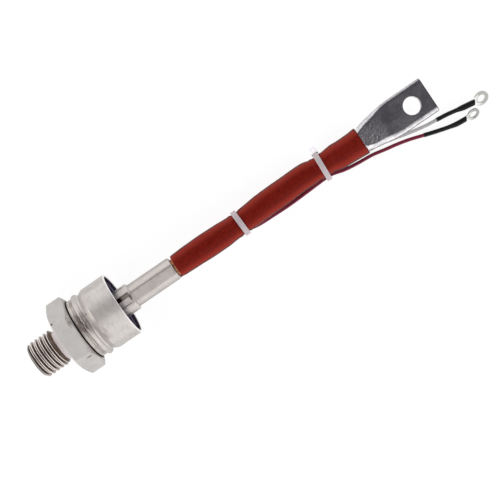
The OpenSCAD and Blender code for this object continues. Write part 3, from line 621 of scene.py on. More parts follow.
def tin_finish():
    """Bright tin, rippled by the press, with painted shade on its rolled sides and its end, and a darker
    patch
    """
    tin = Finish("bright_tin", metallic=1)
    spot = tin.place()
    x, y, z = tin.parts_of(spot)
    ripple = tin.noise(spot, 0.5, 3, 0.55, 0.6)
    cloud = tin.noise(spot, 0.13, 4, 0.6, 0.4)
    scratch = tin.noise(tin.vector(x * 0.35, y * 2.4, z * 2.4), 1.6, 3, 0.6)
    edge_half = x.ramp(184, 199, 2.4, 0.8)
    # Painted shade on the rolled sides, stronger on the -Y side
    rim = (abs(z - LUG_Z) / edge_half).ramp(1, 0.5) * x.ramp(183, 184) * y.ramp(2, -6, 0.55, 0.85)
    # Painted shade at the end
    end_shade = x.ramp(LUG_END - 0.7, LUG_END - 0.2, 0, 0.85)
    plate = tin.mix((ripple * 0.45 + cloud * 0.55).ramp(0.33, 0.67), (1, 0.98, 0.99), (0.56, 0.54, 0.58))
    plate = tin.mix(tin.mark(x, y, (203, 2.5), 8, 5) * 0.35, plate, (0.35, 0.34, 0.36))
    tin.set(Base_Color=tin.mix(rim.most(end_shade), plate, (0.13, 0.12, 0.12)),
            Roughness=(ripple * 0.6 + scratch * 0.4).ramp(0.3, 0.75, 0.12, 0.26))
    tin.bump(ripple * (x.ramp(200, 190) * 2.5 + 1.2) + scratch * 0.3, 0.4, 0.1)
    return tin


def dull_tin_finish():
    """Tin of the ring terminals, darker at the ring's outer and inner edges"""
    dull = Finish("dull_tin", metallic=0.9)
    cloud = dull.noise(dull.place(), 1.3, 3, 0.55)
    sheet = dull.mix(cloud, (1, 1, 0.97), (0.84, 0.84, 0.81))
    dull.set(Base_Color=dull.mix(dull.attribute("cut", "Fac"), sheet, (0.42, 0.42, 0.4)),
             Roughness=cloud.ramp(0.3, 0.7, 0.24, 0.38))
    dull.bump(cloud, 0.3, 0.06)
    return dull


def nylon_finish():
    """Milky nylon, with painted light on the heads: a lighter colour and a glow"""
    nylon = Finish("milky_nylon", roughness=0.38, Subsurface_Weight=0.25, Subsurface_Scale=0.8 * MM,
                   Emission_Strength=1)
    haze = nylon.noise(nylon.place(), 1.1, 3, 0.5)
    strap = nylon.mix(haze, (0.7, 0.61, 0.635), (0.58, 0.5, 0.53))
    # Painted light: lighter colour and a glow on the heads, which lie towards +Y
    head = nylon.parts_of(nylon.place())[1].ramp(7.2, 8.4)
    nylon.set(Base_Color=nylon.mix(head, strap, (0.92, 0.9, 0.93)),
              Roughness=haze.ramp(0.3, 0.7, 0.3, 0.46),
              Emission_Color=nylon.mix(head, (0, 0, 0), (0.26, 0.26, 0.28)))
    nylon.bump(nylon.noise(nylon.place(), 5, 2, 0.5), 0.2, 0.05)
    return nylon


def skin_finish(name, light, dark):
    skin = Finish(name, roughness=0.4, Specular_IOR_Level=0.25)
    haze = skin.noise(skin.place(), 0.9, 4, 0.6)
    fine = skin.noise(skin.place(), 7, 2, 0.6)
    skin.shade(haze, light, dark, 0.3, 0.48)
    skin.bump(fine + haze * 2, 0.25, 0.05)
    return skin


def glass_finish():
    glass = Finish("dark_glass", roughness=0.3, Specular_IOR_Level=0.12)
    flow = glass.noise(glass.place(), 0.35, 4, 0.55, 0.8)
    glass.shade(flow, (0.035, 0.026, 0.1), (0.01, 0.008, 0.032), 0.22, 0.38)
    glass.bump(flow, 0.2, 0.2)
    return glass


def inner_finish(name, metallic, light, dark, smooth, rough):
    """Turned or stamped piece inside the can"""
    inner = TurnedFinish(name, metallic)
    marks = inner.noise(inner.vector(inner.radius * 3, inner.x * 1.5), 1.4, 3, 0.5)
    clouds = inner.noise(inner.place(), 0.45, 4, 0.6)
    gloss = (clouds * 0.5 + marks * 0.5).ramp(0.3, 0.7, smooth, rough)
    inner.set(Base_Color=inner.mix(clouds, light, dark), Roughness=gloss)
    inner.bump(marks + clouds * 0.5, 0.25, 0.04)
    return inner


def floor_finish():
    floor = Finish("studio_floor", roughness=0.9, Specular_IOR_Level=0,
                   Emission_Color=(1, 1, 1, 1), Emission_Strength=0.88)
    haze = floor.noise(floor.place(), 0.004, 2, 0.5)
    floor.set(Base_Color=floor.mix(haze, (0.21, 0.21, 0.21), (0.19, 0.19, 0.19)))
    return floor


# Name, metallic share, two colours, and the least and greatest roughness
INNER_FINISHES = {
    "molybdenum": ("ground_molybdenum", 1, (0.42, 0.42, 0.44), (0.3, 0.3, 0.32), 0.3, 0.45),
    "silicon": ("polished_silicon", 0.6, (0.11, 0.12, 0.17), (0.05, 0.055, 0.09), 0.06, 0.16),
    "white_insulator": ("white_fluoroplastic", 0, (0.84, 0.83, 0.79), (0.72, 0.71, 0.67), 0.4, 0.6),
    "mica": ("layered_mica", 0, (0.55, 0.42, 0.22), (0.34, 0.24, 0.12), 0.16, 0.34),
    "washer_steel": ("turned_steel", 1, (0.5, 0.5, 0.51), (0.36, 0.36, 0.37), 0.26, 0.42),
    "spring_steel": ("oiled_spring_steel", 1, (0.2, 0.2, 0.21), (0.1, 0.1, 0.11), 0.24, 0.4),
    "ceramic": ("fired_ceramic", 0, (0.86, 0.84, 0.79), (0.74, 0.72, 0.66), 0.45, 0.62),
    "silver": ("silver_plate", 1, (0.82, 0.81, 0.79), (0.62, 0.61, 0.58), 0.14, 0.3),
}


def make_materials():
    made = {
        "can": can_finish(), "ring": ring_finish(), "collar": collar_finish(), "tube": tube_finish(),
        "hexagon": base_finish(), "sleeve": sleeve_finish(), "copper": copper_finish(),
        "tin": tin_finish(), "dull_tin": dull_tin_finish(), "nylon": nylon_finish(),
        "white": skin_finish("white_insulation", (0.64, 0.63, 0.62), (0.5, 0.5, 0.5)),
        "crimson": skin_finish("crimson_insulation", (0.27, 0.017, 0.056), (0.17, 0.008, 0.031)),
        "black": skin_finish("black_shrink", (0.01, 0.01, 0.012), (0.004, 0.004, 0.005)),
        "glass": glass_finish(), "floor": floor_finish(),
    }
    made.update({key: inner_finish(*values) for key, values in INNER_FINISHES.items()})
    return {key: finish.material for key, finish in made.items()}


MATERIAL = make_materials()


# ---- routes, as in the solids

LEAD_ROUTE = [
    (66.5, 0, 0), (68.5, 0, 0), (76, 0, -0.5), (85, -0.1, -1.6), (94, -0.2, -3.3), (101, -0.2, -4.75),
    (104.2, -0.2, -5.3), (107.8, -0.2, -5.45), (111, -0.1, -5.9), (120, 0.4, -7.7), (133, 0.7, -9.6),
    (148, 0.9, -10.7), (155.1, 0.3, -10.7), (159.4, 0.25, -10.7), (162, 0.1, -10.7), (167.6, -0.3, -10.7),
    (177, -0.3, -10.7), (182.4, -0.3, -10.7),
]
SLEEVE_RADIUS = [
    5.9, 6.2, 6.55, 6.7, 6.7, 6.3, 5.97, 5.97, 6.4, 6.75, 6.85, 6.65, 6, 6, 6.25, 7, 7.15, 7.45,
]
ROPE_ROUTE = ([(42.6, 0, 0), (65.5, 0, 0), (68.5, 0, 0)]
              + [LEAD_ROUTE[i] for i in (2, 4, 5, 6, 7, 9, 10, 11, 12, 13, 15)] + [(175, LUG_Y, LUG_Z)])
ROPE_RADIUS = [4.55, 4.55, 4.95] + [5] * 11 + [4.8]


def outlet(turn):
    """Where a wire leaves the seal, its angle counted from -Z to -Y"""
    radius = 11.9
    return -radius * sin(radians(turn)), -radius * cos(radians(turn))


GATE_OUTLET, CONTROL_OUTLET = outlet(5), outlet(24)
GATE_ROUTE = [
    (OUTLET_LEVEL, *GATE_OUTLET), (40, -1, -12.2), (50, -1.3, -12.6), (64, -1.9, -12.4), (78, -2.8, -11.8),
    (92, -3.5, -11.3), (100, -3.9, -11.5), (103, -3.8, -11.25), (108, -3.8, -11.46), (113, -4.7, -12.5),
    (122, -5.3, -13.4), (133, -5.5, -14.7), (145, -5.3, -15.5), (154.4, -5, -15.3), (159.1, -5, -15.3),
    (167, -6.3, -16.3), (175, -6.9, -16.9), (184, -6.9, -17), (191, -7.7, -17), (198, -9.2, -17),
    (204, -10.7, -17), (210, -12, -17), (216, -13.1, -16.85), (222.4, -13.85, -16.55),
    (225.5, -14.2, -16.2), (229, -14.65, -15.75), (233, -15.4, -15.1), (237.6, -16.35, -14.8),
]
CONTROL_ROUTE = [
    (OUTLET_LEVEL, *CONTROL_OUTLET), (40, -5, -11), (50, -5, -11), (64, -5.2, -10.4), (78, -5.4, -9.9),
    (92, -5.4, -9.8), (100, -5.7, -10.1), (103, -5.4, -9.96), (108, -5.4, -10.17), (113, -6.3, -10.8),
    (122, -6.7, -11.7), (133, -6.9, -12.2), (145, -6.5, -12.9), (154.4, -6.1, -13.55),
    (159.1, -6.1, -13.55), (167, -8.1, -14.4), (175, -9.2, -15.8), (184, -10, -17), (191, -11.4, -17),
    (198, -12.7, -17), (205, -14.4, -17), (212.4, -16.75, -16.68), (216, -17.9, -16.6),
    (220, -19.1, -16.35), (225, -20.5, -15.6), (230, -21.6, -14.9),
]
NEAR_TIE, FAR_TIE = (105.9, -0.2, -5.37), (157.7, 0.3, -10.7)
FAR_CREASE = 157.3
GATE_HEADING, GATE_TILT = -8.7, 36
CONTROL_HEADING, CONTROL_TILT = -5, 46


def smooth_route(route, step, radii=None):
    """Points on a smooth line through a route, and their radii"""
    points = [Vector(p) for p in route]
    sizes = radii or [1] * len(points)
    legs = [b - a for a, b in zip(points, points[1:])]
    ahead = [leg.normalized() for leg in legs]
    turns = [ahead[0]] + [(a + b).normalized() for a, b in zip(ahead, ahead[1:])] + [ahead[-1]]
    made, widths = [], []
    for i, leg in enumerate(legs):
        count = max(2, round(leg.length / step))
        for t in (k / count for k in range(count)):
            ease = t * t * (3 - 2 * t)
            bend = (t ** 3 - 2 * t ** 2 + t) * turns[i] + (t ** 3 - t ** 2) * turns[i + 1]
            made.append(points[i] + ease * leg + leg.length * bend)
            widths.append(sizes[i] + (sizes[i + 1] - sizes[i]) * ease)
    return made + [points[-1]], widths + [sizes[-1]]


def drawn_line(name, points, widths, radius, sides, caps=True):
    deselect()
    bpy.ops.curve.primitive_nurbs_path_add()
    piece = name_piece(name)
    piece.data.splines.clear()
    line = piece.data.splines.new("POLY")
    line.points.add(len(points) - 1)
    for spot, point, width in zip(line.points, points, widths):
        spot.co = (*(point * MM), 1)
        spot.radius = width
    line.use_smooth = True
    piece.data.dimensions = "3D"
    piece.data.twist_mode = "Z_UP"
    piece.data.bevel_depth = radius * MM
    piece.data.bevel_resolution = sides // 4 - 1
    piece.data.use_fill_caps = caps
    return piece


def to_mesh(piece):
    pick(piece)
    bpy.ops.object.convert(target="MESH")
    made = bpy.context.object
    tidy(made)
    return made


# ---- cords

def centre_at(points, level):
    after = next((i for i, p in enumerate(points) if p.x >= level), len(points) - 1)
    before = max(after - 1, 0)
    gap = points[after].x - points[before].x
    return points[before].lerp(points[after], part_way(level, points[before].x, gap) if gap else 0)


def sleeve_swell(level, angle, out_y):
    """How far the skin stands out: waves, creases at the ties, the lug under it"""
    swell = 0.05 * sin(0.31 * level + 2 * angle) + 0.04 * sin(0.17 * level - 3 * angle + 1)
    for tie, folds in ((NEAR_TIE[0], 9), (FAR_CREASE, 8)):
        away = abs(level - tie)
        swell += 0.34 * bell(away - 2.9, 0.9)
        swell -= 0.13 * (1 + cos(folds * angle + 1.3 * tie + 0.5 * away)) * bell(away - 3.4, 1.7)
    return swell + 0.4 * max(out_y, 0) * bell(level - 165, 5)


def make_sleeve():
    """Braided sleeve, drawn in and creased at the ties and swollen over the lug"""
    points, widths = smooth_route(LEAD_ROUTE, 0.55, SLEEVE_RADIUS)
    start, end = points[0].x, points[-1].x
    piece = to_mesh(drawn_line("braided_sleeve_tube", points, widths, 1, 72, caps=False))
    hollow(piece, SLEEVE_WALL)
    soften(piece, 0.3, 60, 3)
    wrap = piece.data.attributes.new("wrap", "FLOAT_VECTOR", "POINT")
    for vertex, value in zip(piece.data.vertices, wrap.data):
        spot = vertex.co / MM
        centre = centre_at(points, spot.x)
        out = Vector((0, spot.y - centre.y, spot.z - centre.z)).normalized()
        value.vector = (out.y, out.z, spot.x)
        mouth = part_way(spot.x, end - 5.4, 5.4)
        loose = part_way(spot.x, start, 6) * (1 - mouth)
        slack = part_way(spot.x, 170, 7)
        spot += sleeve_swell(spot.x, atan2(out.z, out.y), out.y) * loose * out
        if spot.z < LUG_Z:
            spot.z = LUG_Z + (spot.z - LUG_Z) * (1 - 0.12 * mouth)
        spot.x -= 0.17 * max(spot.z - LUG_Z, 0) * mouth
        spot.y -= 0.5 * max(-out.y, 0) * slack
        vertex.co = spot * MM
    return finish_piece(piece, "sleeve", "sleeve_red", "lead_sleeve"), points


def make_rope():
    strands, depth, lay = 12, 0.09, 0.42
    points, widths = smooth_route(ROPE_ROUTE, 1.3, ROPE_RADIUS)
    piece = to_mesh(drawn_line("copper_rope", points, widths, 1, 96, caps=True))
    for vertex in piece.data.vertices:
        spot = vertex.co / MM
        centre = centre_at(points, spot.x - 0.01)
        y, z = spot.y - centre.y, spot.z - centre.z
        lobe = 1 - depth * (1 - abs(cos(strands / 2 * atan2(z, y) + spot.x * lay)))
        vertex.co = Vector((spot.x, centre.y + y * lobe, centre.z + z * lobe)) * MM
    return finish_piece(piece, "copper", "copper", "lead_rope", angle=40)


def make_wire(name, route, material, slot, node):
    points, widths = smooth_route(route, 1.6)
    piece = drawn_line(name, points, widths, WIRE_RADIUS, 16)
    return finish_piece(piece, material, slot, node), points


sleeve, sleeve_path = make_sleeve()
rope = make_rope()
gate_wire, gate_path = make_wire("white_wire", GATE_ROUTE, "white", "wire_white", "gate_wire")
control_wire, control_path = make_wire(
    "crimson_wire", CONTROL_ROUTE, "crimson", "wire_red", "control_wire")


# ---- floor and light

# How bright the light tent is, by the cosine of the angle from its darkest direction
TENT_STOPS = ((0.68, (0.95, 0.95, 0.95)), (0.79, (0.65, 0.637, 0.65)), (0.865, (0.33, 0.3234, 0.33)),
              (0.907, (0.13, 0.1274, 0.13)), (0.945, (0.08, 0.074, 0.087)))
DARK_DIRECTION = (0.42, 0.33, 1)


def make_floor():
    deselect()
    bpy.ops.mesh.primitive_plane_add(size=4, location=(0.1, 0, FLOOR_Z * MM))
    floor = name_piece("studio_floor")
    fix_place()
    floor.data.materials.append(MATERIAL["floor"])


def make_light_tent():
    world = bpy.data.worlds.new("light_tent")
    world.use_nodes = True
    bpy.context.scene.world = world
    tree = world.node_tree
    background = tree.nodes["Background"]
    coords = tree.nodes.new("ShaderNodeTexCoord")
    toward = tree.nodes.new("ShaderNodeVectorMath")
    toward.operation = "DOT_PRODUCT"
    toward.inputs[1].default_value = Vector(DARK_DIRECTION).normalized()
    ramp = tree.nodes.new("ShaderNodeValToRGB")
    tree.links.new(coords.outputs["Generated"], toward.inputs[0])
    tree.links.new(toward.outputs["Value"], ramp.inputs[0])
    tree.links.new(ramp.outputs[0], background.inputs["Color"])
    stops = ramp.color_ramp.elements
    for place, _ in TENT_STOPS[1:-1]:
        stops.new(place)
    for stop, (place, colour) in zip(stops, TENT_STOPS):
        stop.position, stop.color = place, (*colour, 1)
    background.inputs["Strength"].default_value = 1


def make_softbox(name, place, power):
    bpy.ops.object.light_add(type="AREA", location=place)
    lamp = bpy.context.object
    lamp.name = name
    lamp.data.size = 0.8
    lamp.data.energy = power
    lamp.rotation_mode = "QUATERNION"
    lamp.rotation_quaternion = (Vector(place) - Vector((0.1, 0, 0))).to_track_quat("Z", "Y")


make_floor()
make_light_tent()
make_softbox("softbox_left", (-0.9, 0.5, 0.5), 1.3)
make_softbox("softbox_right", (0.35, -1.1, 0.5), 0.7)


# ---- stud, hexagon and cup

def make_thread():
    """Right-handed thread, cut flat at both ends and chamfered"""
    shares = [(0, THREAD_ROOT), (0.07, THREAD_ROOT), (0.12, THREAD_ROOT + 0.1),
              (0.39, THREAD_CREST - 0.14), (0.43, THREAD_CREST - 0.02), (0.5, THREAD_CREST)]
    shares += [(1 - share, radius) for share, radius in shares[-2::-1]]
    piece = outline("thread", [(THREAD_START + share * THREAD_PITCH, r, 0) for share, r in shares])
    helix = piece.modifiers.new("helix", "SCREW")
    helix.axis = "X"
    helix.angle = TURN
    helix.screw_offset = THREAD_PITCH * MM
    helix.iterations = 8
    helix.steps = helix.render_steps = 72
    apply_all(piece)
    tidy(piece)
    for level, side in ((STUD_END, "clear_inner"), (THREAD_RUN_OUT, "clear_outer")):
        edit(piece)
        bpy.ops.mesh.bisect(plane_co=(level * MM, 0, 0), plane_no=(1, 0, 0), threshold=0.0001 * MM,
                            use_fill=True, **{side: True})
        leave()
    tidy(piece)
    beyond = STUD_END - 1
    chamfers = [(beyond, 0), (beyond, 7.5), (STUD_END, 8.6), (-16.6, 10), (-5.3, 10.05), (-4, 8.6),
                (-3.7, 8.05), (-3.7, 0)]
    combine(piece, turned("thread_envelope", chamfers, 72), "INTERSECT")
    return piece


def make_stud_body():
    neck = [(-6, 0), (-6, 8.1), (-0.6, 8.1), (-0.2, 8.25), (0, 8.6)]
    hexagon = [(0, 16.8), (1.45, HEX_CORNERS), (9.12, HEX_CORNERS), (HEX_TOP, 17)]
    cup = [(HEX_TOP, CUP_RADIUS), (CUP_TOP, CUP_RADIUS), (CUP_TOP, CUP_BORE), (GROOVE_END, CUP_BORE),
           (GROOVE_END, GROOVE_RADIUS), (GROOVE_START, GROOVE_RADIUS), (GROOVE_START, CUP_BORE),
           (CUP_FLOOR, CUP_BORE), (CUP_FLOOR, 0)]
    piece = turned("threaded_hexagon_base", neck + hexagon + cup)
    combine(piece, hexagon_bar("hexagon_bar", -30, 40, HEX_FLATS), "INTERSECT")
    clean_cuts(piece, 0.05)
    soften(piece, 0.35, 24, 3)
    tidy(piece)
    combine(piece, make_thread(), "UNION")
    clean_cuts(piece, 0.01)
    return finish_piece(piece, "hexagon", "nickel_plate", "stud_base", angle=28)


def make_weld_ring():
    """Ring with three fine grooves and one wider groove under the can"""
    levels = [(HEX_TOP, RING_BORE), (HEX_TOP, 15.5), (10.95, 15.5), (10.98, 16.2), (11.15, RING_RADIUS)]
    for start in (11.5, 12.1, 12.7):
        levels += [(start, RING_RADIUS), (start + 0.12, RING_RADIUS - 0.1), (start + 0.24, RING_RADIUS)]
    levels += [(13.2, RING_RADIUS), (13.35, 16.15), (13.5, 16.15), (13.62, 16.35), (RING_TOP, 16.2),
               (RING_TOP, RING_BORE)]
    piece = turned("weld_ring_turned", levels, closed=True)
    soften(piece, 0.04, 40, 1)
    return finish_piece(piece, "ring", "nickel_plate", "weld_ring", angle=50)


def make_can():
    """Drawn can: bead, narrow neck, conical shoulder, wall and rounded rim"""
    bead = arc((15.2, 16.1), 1.4, 180, 22, 12)[1:]
    neck = arc((17.25, 16.95), 0.95, 205, 262, 5) + arc((17.3, 16.95), 0.95, 278, 310, 3)
    shoulder = arc((20.5, 15.9), 1.5, 122, 92, 4)
    wall = [(21.5, CAN_RADIUS), (27, CAN_RADIUS + 0.02), (32.9, CAN_RADIUS)]
    rim = arc((33.45, 16.85), 0.55, 90, -90, 8)
    inside = [(32.9, CAN_BORE), (20.55, CAN_BORE), (17.75, 14.9), (16.6, NECK_BORE)]
    outside = [(RING_TOP, NECK_BORE), (RING_TOP, 16.1)] + bead + neck + shoulder + wall
    piece = turned("drawn_can", outside + rim + inside, 128, closed=True)
    return finish_piece(piece, "can", "nickel_plate", "can_shell", angle=50)


make_stud_body()
make_weld_ring()
make_can()


# ---- collar and crimped tube

def make_collar():
    """Round foot, pressed to a hexagon above it, with a slot and a crease"""
    slot_turn, crease_turn, hexagon_turn = -17, 19, 11
    body = [(COLLAR_START, COLLAR_BORE), (COLLAR_START, COLLAR_RADIUS), (39.5, COLLAR_RADIUS),
            (40.1, 7.25), (COLLAR_END, 6.8), (COLLAR_END, COLLAR_BORE)]
    piece = turned("pressed_collar", body, closed=True)
    flats = hexagon_bar("flats", 31.9, 60, COLLAR_FLATS, hexagon_turn)
    combine(flats, turned("round_part", [(20, 0), (20, 9), (32.1, 9), (32.1, 0)], 64), "UNION")
    combine(piece, flats, "INTERSECT")
    for name, low, high, turn in (("slot", (32, -1.25, 3), (39.5, 1.25, 9), slot_turn),
                                  ("crease", (31.8, -0.12, 6.9), (40.5, 0.12, 9), crease_turn)):
        cutter = block(name, low, high)
        turn_about_axis(cutter, turn)
        combine(piece, cutter, "DIFFERENCE")
    clean_cuts(piece, 0.01)
    soften(piece, 0.12, 30, 2)
    tidy(piece)
    return finish_piece(piece, "collar", "collar_plate", "outer_collar", angle=30)


def make_punch():
    """Block for the indent. Its rounding crosses itself, so its cut leaves the tube's flat whole"""
    punch = block("punch", (56.6, -2.4, 5.1), (64.4, 2.4, 8))
    edit_edges(punch, lambda a, b: abs(a.z - b.z) > 1 and a.x < 58)
    bpy.ops.mesh.bevel(offset=2.35 * MM, segments=8, affect="EDGES")
    leave()
    return punch


def make_crimp_tube():
    """Tube crimped to a rounded hexagon, with flash and a round spigot"""
    piece = hexagon_bar("crimped_tube", TUBE_START, TUBE_END, TUBE_FLATS)
    edit_edges(piece, lambda a, b: abs(a.x - b.x) > 10)
    bpy.ops.mesh.bevel(offset=1.25 * MM, segments=5, affect="EDGES")
    leave()
    ends = [(38, 0), (38, 5.9), (40.4, 5.95), (40.7, 6.2), (41.2, 7), (65, 7), (65.2, 6.5),
            (TUBE_END, 5.9), (66, 5.2), (66, 0)]
    combine(piece, turned("spigot_limit", ends, 64), "INTERSECT")
    spigot = [(COLLAR_START, 0), (COLLAR_START, SPIGOT_RADIUS), (40.4, SPIGOT_RADIUS), (40.6, 5.9), (40.6, 0)]
    combine(piece, turned("spigot", spigot, 64), "UNION")
    for turn in (-30, 150):
        flash = block("flash", (41.6, -0.22, 5.6), (64.2, 0.22, 6.45))
        turn_about_axis(flash, turn)
        combine(piece, flash, "UNION")
    bore = [(27, 0), (27, 4.25), (42.4, 4.25), (42.4, ROPE_BORE), (67, ROPE_BORE), (67, 0)]
    combine(piece, turned("bore", bore, 64), "DIFFERENCE")
    combine(piece, make_punch(), "DIFFERENCE")
    turn_about_axis(piece, 6)
    clean_cuts(piece, 0.01)
    soften(piece, 0.15, 30, 2)
    tidy(piece)
    return finish_piece(piece, "tube", "collar_plate", "crimp_tube", angle=34)


make_collar()
make_crimp_tube()


# ---- lug

# Level, width, height and the stretch over which each side rolls down
LUG_SECTIONS = [
    (LUG_START, 12.3, 12.3, 6.1), (177.2, 12.3, 12.3, 6.1), (179, 12.5, 11.8, 5.8), (181, 12.7, 10.4, 4),
    (182.6, 13, 9.4, 2.5), (184.2, 14, 8.7, 2.4), (186, 15, 7.9, 2.5), (188, 15.9, 6.9, 2.7),
    (192, 17.2, 5.1, 3), (195, 18.2, 3.8, 3.2), (197.5, 18.9, 3, 3.2), (200, 19.5, 2.5, 3),
    (204, 20.1, 2.4, 2.7), (LUG_END - 0.2, 20.1, 2.4, 2.7), (LUG_END, 19.8, 2.2, 2.6),
]


def rounded_section(name, level, width, height, roll, steps=10):
    """Loop across the axis, flat in the middle and rolled down at both sides"""
    angles = [radians(90 * i / steps) for i in range(steps)]
    quarter = [(width / 2 - roll + roll * sin(a), height / 2 * cos(a) ** 1.2) for a in angles]
    quarter += [(width / 2, 0)]
    half = quarter + [(y, -z) for y, z in quarter[-2::-1]]
    ring = half + [(-y, z) for y, z in half[::-1]]
    return outline(name, [(level, LUG_Y + y, LUG_Z + z) for y, z in ring], closed=True)


def on_levels(*levels):
    return lambda a, b: any(abs(a.x - level) < 0.01 and abs(b.x - level) < 0.01 for level in levels)


def make_lug():
    """Lug pressed flat from a tube, lofted from rounded sections"""
    loops = [rounded_section("lug_section", *section) for section in LUG_SECTIONS]
    for loop in loops:
        loop.select_set(True)
    bpy.context.view_layer.objects.active = loops[0]
    bpy.ops.object.join()
    piece = name_piece("pressed_lug")
    levels = [section[0] for section in LUG_SECTIONS]
    for near, far in zip(levels, levels[1:]):
        edit_edges(piece, on_levels(near, far))
        bpy.ops.mesh.bridge_edge_loops()
        leave()
    for level in (LUG_START, LUG_END):
        edit_edges(piece, on_levels(level))
        bpy.ops.mesh.edge_face_add()
        leave()
    tidy(piece)
    barrel = turned("barrel_bore", [(160, 0), (160, LUG_BORE), (176, LUG_BORE), (180, 0)], 64)
    seat(barrel, (0, LUG_Y, LUG_Z))
    combine(piece, barrel, "DIFFERENCE")
    combine(piece, disc("bolt_hole", BOLT_RADIUS, 20, (BOLT_LEVEL, LUG_Y, LUG_Z), 96), "DIFFERENCE")
    clean_cuts(piece, 0.01)
    soften(piece, 0.12, 50, 2)
    return finish_piece(piece, "tin", "tinned_copper", "terminal_lug", angle=30)


lug = make_lug()


# ---- cable ties

def hull_outline(circles):
    spots = sorted((cx + r * cos(k * TURN / 64), cy + r * sin(k * TURN / 64))
                   for cx, cy, r in circles for k in range(64))
    halves = []
    for row in (spots, spots[::-1]):
        chain = []
        for p in row:
            while len(chain) > 1:
                (ax, ay), (bx, by) = chain[-2:]
                if (bx - ax) * (p[1] - ay) - (by - ay) * (p[0] - ax) > 0:
                    break
                chain.pop()
            chain.append(p)
        halves += chain[:-1]
    return halves


def evenly(ring, spacing):
    """Points at even steps along a closed outline"""
    corners = [Vector(p) for p in ring]
    sides = list(zip(corners, corners[1:] + corners[:1]))
    total = sum((b - a).length for a, b in sides)
    count = 2 * round(total / spacing / 2)
    made, walked = [], 0
    for a, b in sides:
        long = (b - a).length
        while len(made) < count and len(made) * total / count < walked + long:
            made.append(a.lerp(b, (len(made) * total / count - walked) / long))
        walked += long
    return made


def prism(name, ring, start, end):
    """Solid between two levels from an outline across the axis"""
    piece = outline(name, [(start, y, z) for y, z in ring], closed=True)
    edit(piece)
    bpy.ops.mesh.edge_face_add()
    bpy.ops.mesh.extrude_region_move(TRANSFORM_OT_translate={"value": ((end - start) * MM, 0, 0)})
    leave()
    tidy(piece)
    return piece


def make_tie_head(half_width, turn):
    """Head with its window and a short cut tail"""
    head = block("tie_head", (-1.95, 6.9, -2.3), (1.95, 11.1, 2.3))
    soften(head, 0.7, 30, 4)
    combine(head, block("tie_window", (-1.5, 7.25, -3), (1.5, 8.75, 3)), "DIFFERENCE")
    tail = block("tie_tail", (-half_width, 7.4, -3.6), (half_width, 8.55, 3))
    soften(tail, 0.15, 30, 1)
    combine(head, tail, "UNION")
    turn_about_axis(head, turn)
    return head


def make_tie(name, place, slope, lean, head_turn, wires, node):
    """Tie with a serrated strap round sleeve and wires"""
    half_width, tooth = 1.42, 1.012
    inner = [(0, 0, 5.95)] + [(y, z, 1) for y, z in wires]
    outer = [(0, 0, 7.12)] + [(y, z, 2.12) for y, z in wires]
    toothed = [p * (tooth if i % 2 else 1) for i, p in enumerate(evenly(hull_outline(outer), 0.3))]
    strap = prism(name, toothed, -half_width, half_width)
    combine(strap, prism("strap_inside", hull_outline(inner), -3, 3), "DIFFERENCE")
    soften(strap, 0.2, 60, 3)
    combine(strap, make_tie_head(half_width, head_turn), "UNION")
    clean_cuts(strap)
    seat(strap, place, (slope, "Y"), (lean, "Z"))
    return finish_piece(strap, "nylon", "nylon", node, angle=40)


tie_near = make_tie("cable_tie_first", NEAR_TIE, -2, 2, -68, [(-3.6, -6), (-5.2, -4.7)], "cable_tie_near")
tie_far = make_tie("cable_tie_second", FAR_TIE, -8, -3, -14, [(-5.3, -4.6), (-6.4, -2.85)], "cable_tie_far")


# ---- shrink sleeves and ring terminals

def direction(turn):
    return Vector((cos(radians(turn)), sin(radians(turn)), 0))


def make_shrink(name, route, heading, reach, wide, node):
    """Sleeve over a wire's end and a barrel, cut off at a slant"""
    slant, slant_stretch, narrow = 0.35, 2, 1.15
    end = Vector(route[-1])
    ahead, left = direction(heading), direction(heading + 90)
    line = [Vector(p) for p in route[-5:]] + [end + reach * ahead]
    points, widths = smooth_route(line, 0.8, [narrow] * (len(line) - 2) + [wide, wide])
    piece = to_mesh(drawn_line(name, points, widths, 1, 24, caps=False))
    hollow(piece, SHRINK_WALL)
    for vertex in piece.data.vertices:
        away = vertex.co / MM - end
        near_cut = part_way(away.dot(ahead), reach - slant_stretch, slant_stretch)
        vertex.co += ahead * (slant * away.dot(left) * near_cut * MM)
    return finish_piece(piece, "black", "shrink_black", node)


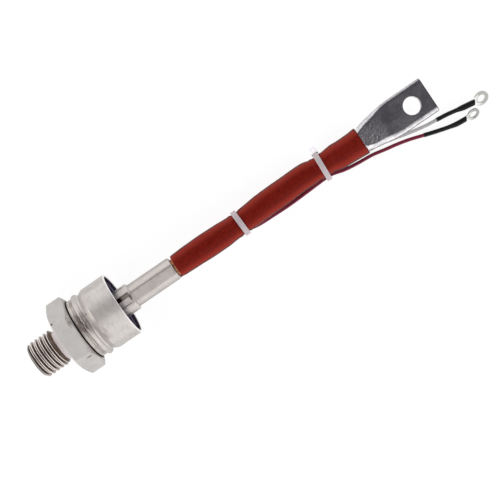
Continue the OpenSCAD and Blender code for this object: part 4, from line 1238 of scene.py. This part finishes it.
def make_terminal(name, route, heading, tilt, ring_d, hole_d, barrel_d, node):
    sheet, neck, barrel_length, wire_bore, overlap = 0.7, 0.8, 5.7, 0.45, 0.1
    middle = barrel_length + neck + ring_d / 2
    low = -barrel_d / 2 + sheet / 2
    half_tongue = barrel_d / 2 - overlap
    piece = disc(name, ring_d / 2, sheet, (middle, 0, low + sheet / 2))
    tongue = block("tongue", (5.3, -half_tongue, low), (middle - ring_d / 4, half_tongue, low + sheet))
    edit(tongue, "DESELECT")
    leave()
    for vertex in tongue.data.vertices:
        vertex.select = vertex.co.x > 6 * MM
    bpy.ops.object.mode_set(mode="EDIT")
    bpy.ops.transform.resize(value=(1, ring_d * 0.31 / half_tongue, 1), center_override=(0, 0, 0))
    leave()
    combine(piece, tongue, "UNION")
    combine(piece, disc("screw_hole", hole_d / 2, 4, (middle, 0, low)), "DIFFERENCE")
    barrel = [(0, wire_bore), (0, barrel_d / 2), (barrel_length, barrel_d / 2), (barrel_length, wire_bore)]
    combine(piece, turned("barrel", barrel, 32, closed=True), "UNION")
    clean_cuts(piece, 0.01)
    soften(piece, 0.14, 40, 2)
    tidy(piece)
    cut = piece.data.attributes.new("cut", "FLOAT", "POINT")
    for vertex, value in zip(piece.data.vertices, cut.data):
        away = hypot(vertex.co.x / MM - middle, vertex.co.y / MM)
        at_edge = away > ring_d / 2 - 0.08 or away < hole_d / 2 + 0.08
        value.value = float(vertex.co.x > 7 * MM and at_edge)
    seat(piece, route[-1], (heading, "Z"), (tilt, "X"))
    return finish_piece(piece, "dull_tin", "tinned_copper", node)


gate_shrink = make_shrink("shrink_on_white", GATE_ROUTE, GATE_HEADING, 6.4, 1.6, "gate_shrink")
control_shrink = make_shrink(
    "shrink_on_crimson", CONTROL_ROUTE, CONTROL_HEADING, 5.4, 1.42, "control_shrink")
gate_ring = make_terminal(
    "ring_on_white", GATE_ROUTE, GATE_HEADING, GATE_TILT, 8.2, 4.5, 2.6, "gate_terminal")
control_ring = make_terminal(
    "ring_on_crimson", CONTROL_ROUTE, CONTROL_HEADING, CONTROL_TILT, 7, 4.1, 2.2, "control_terminal")


# ---- inner pieces kept from the solids

KEPT = {
    "glass": ["seal_glass"],
    "collar": ["gate_tube", "control_tube"],
    "copper": ["contact_post"],
    "molybdenum": ["lower_disc", "upper_disc"],
    "silicon": ["silicon_wafer"],
    "white_insulator": ["centring_ring"],
    "mica": ["mica_washer"],
    "washer_steel": ["thrust_washer", "pressure_plate"],
    "spring_steel": ["spring_washer_1", "spring_washer_2", "spring_washer_3", "lock_ring", "gate_spring"],
    "ceramic": ["stem_insulator", "gate_guide"],
    "silver": ["gate_pin", "gate_lead", "control_lead"],
}
for key, names in KEPT.items():
    for name in names:
        dress(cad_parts[name], key)
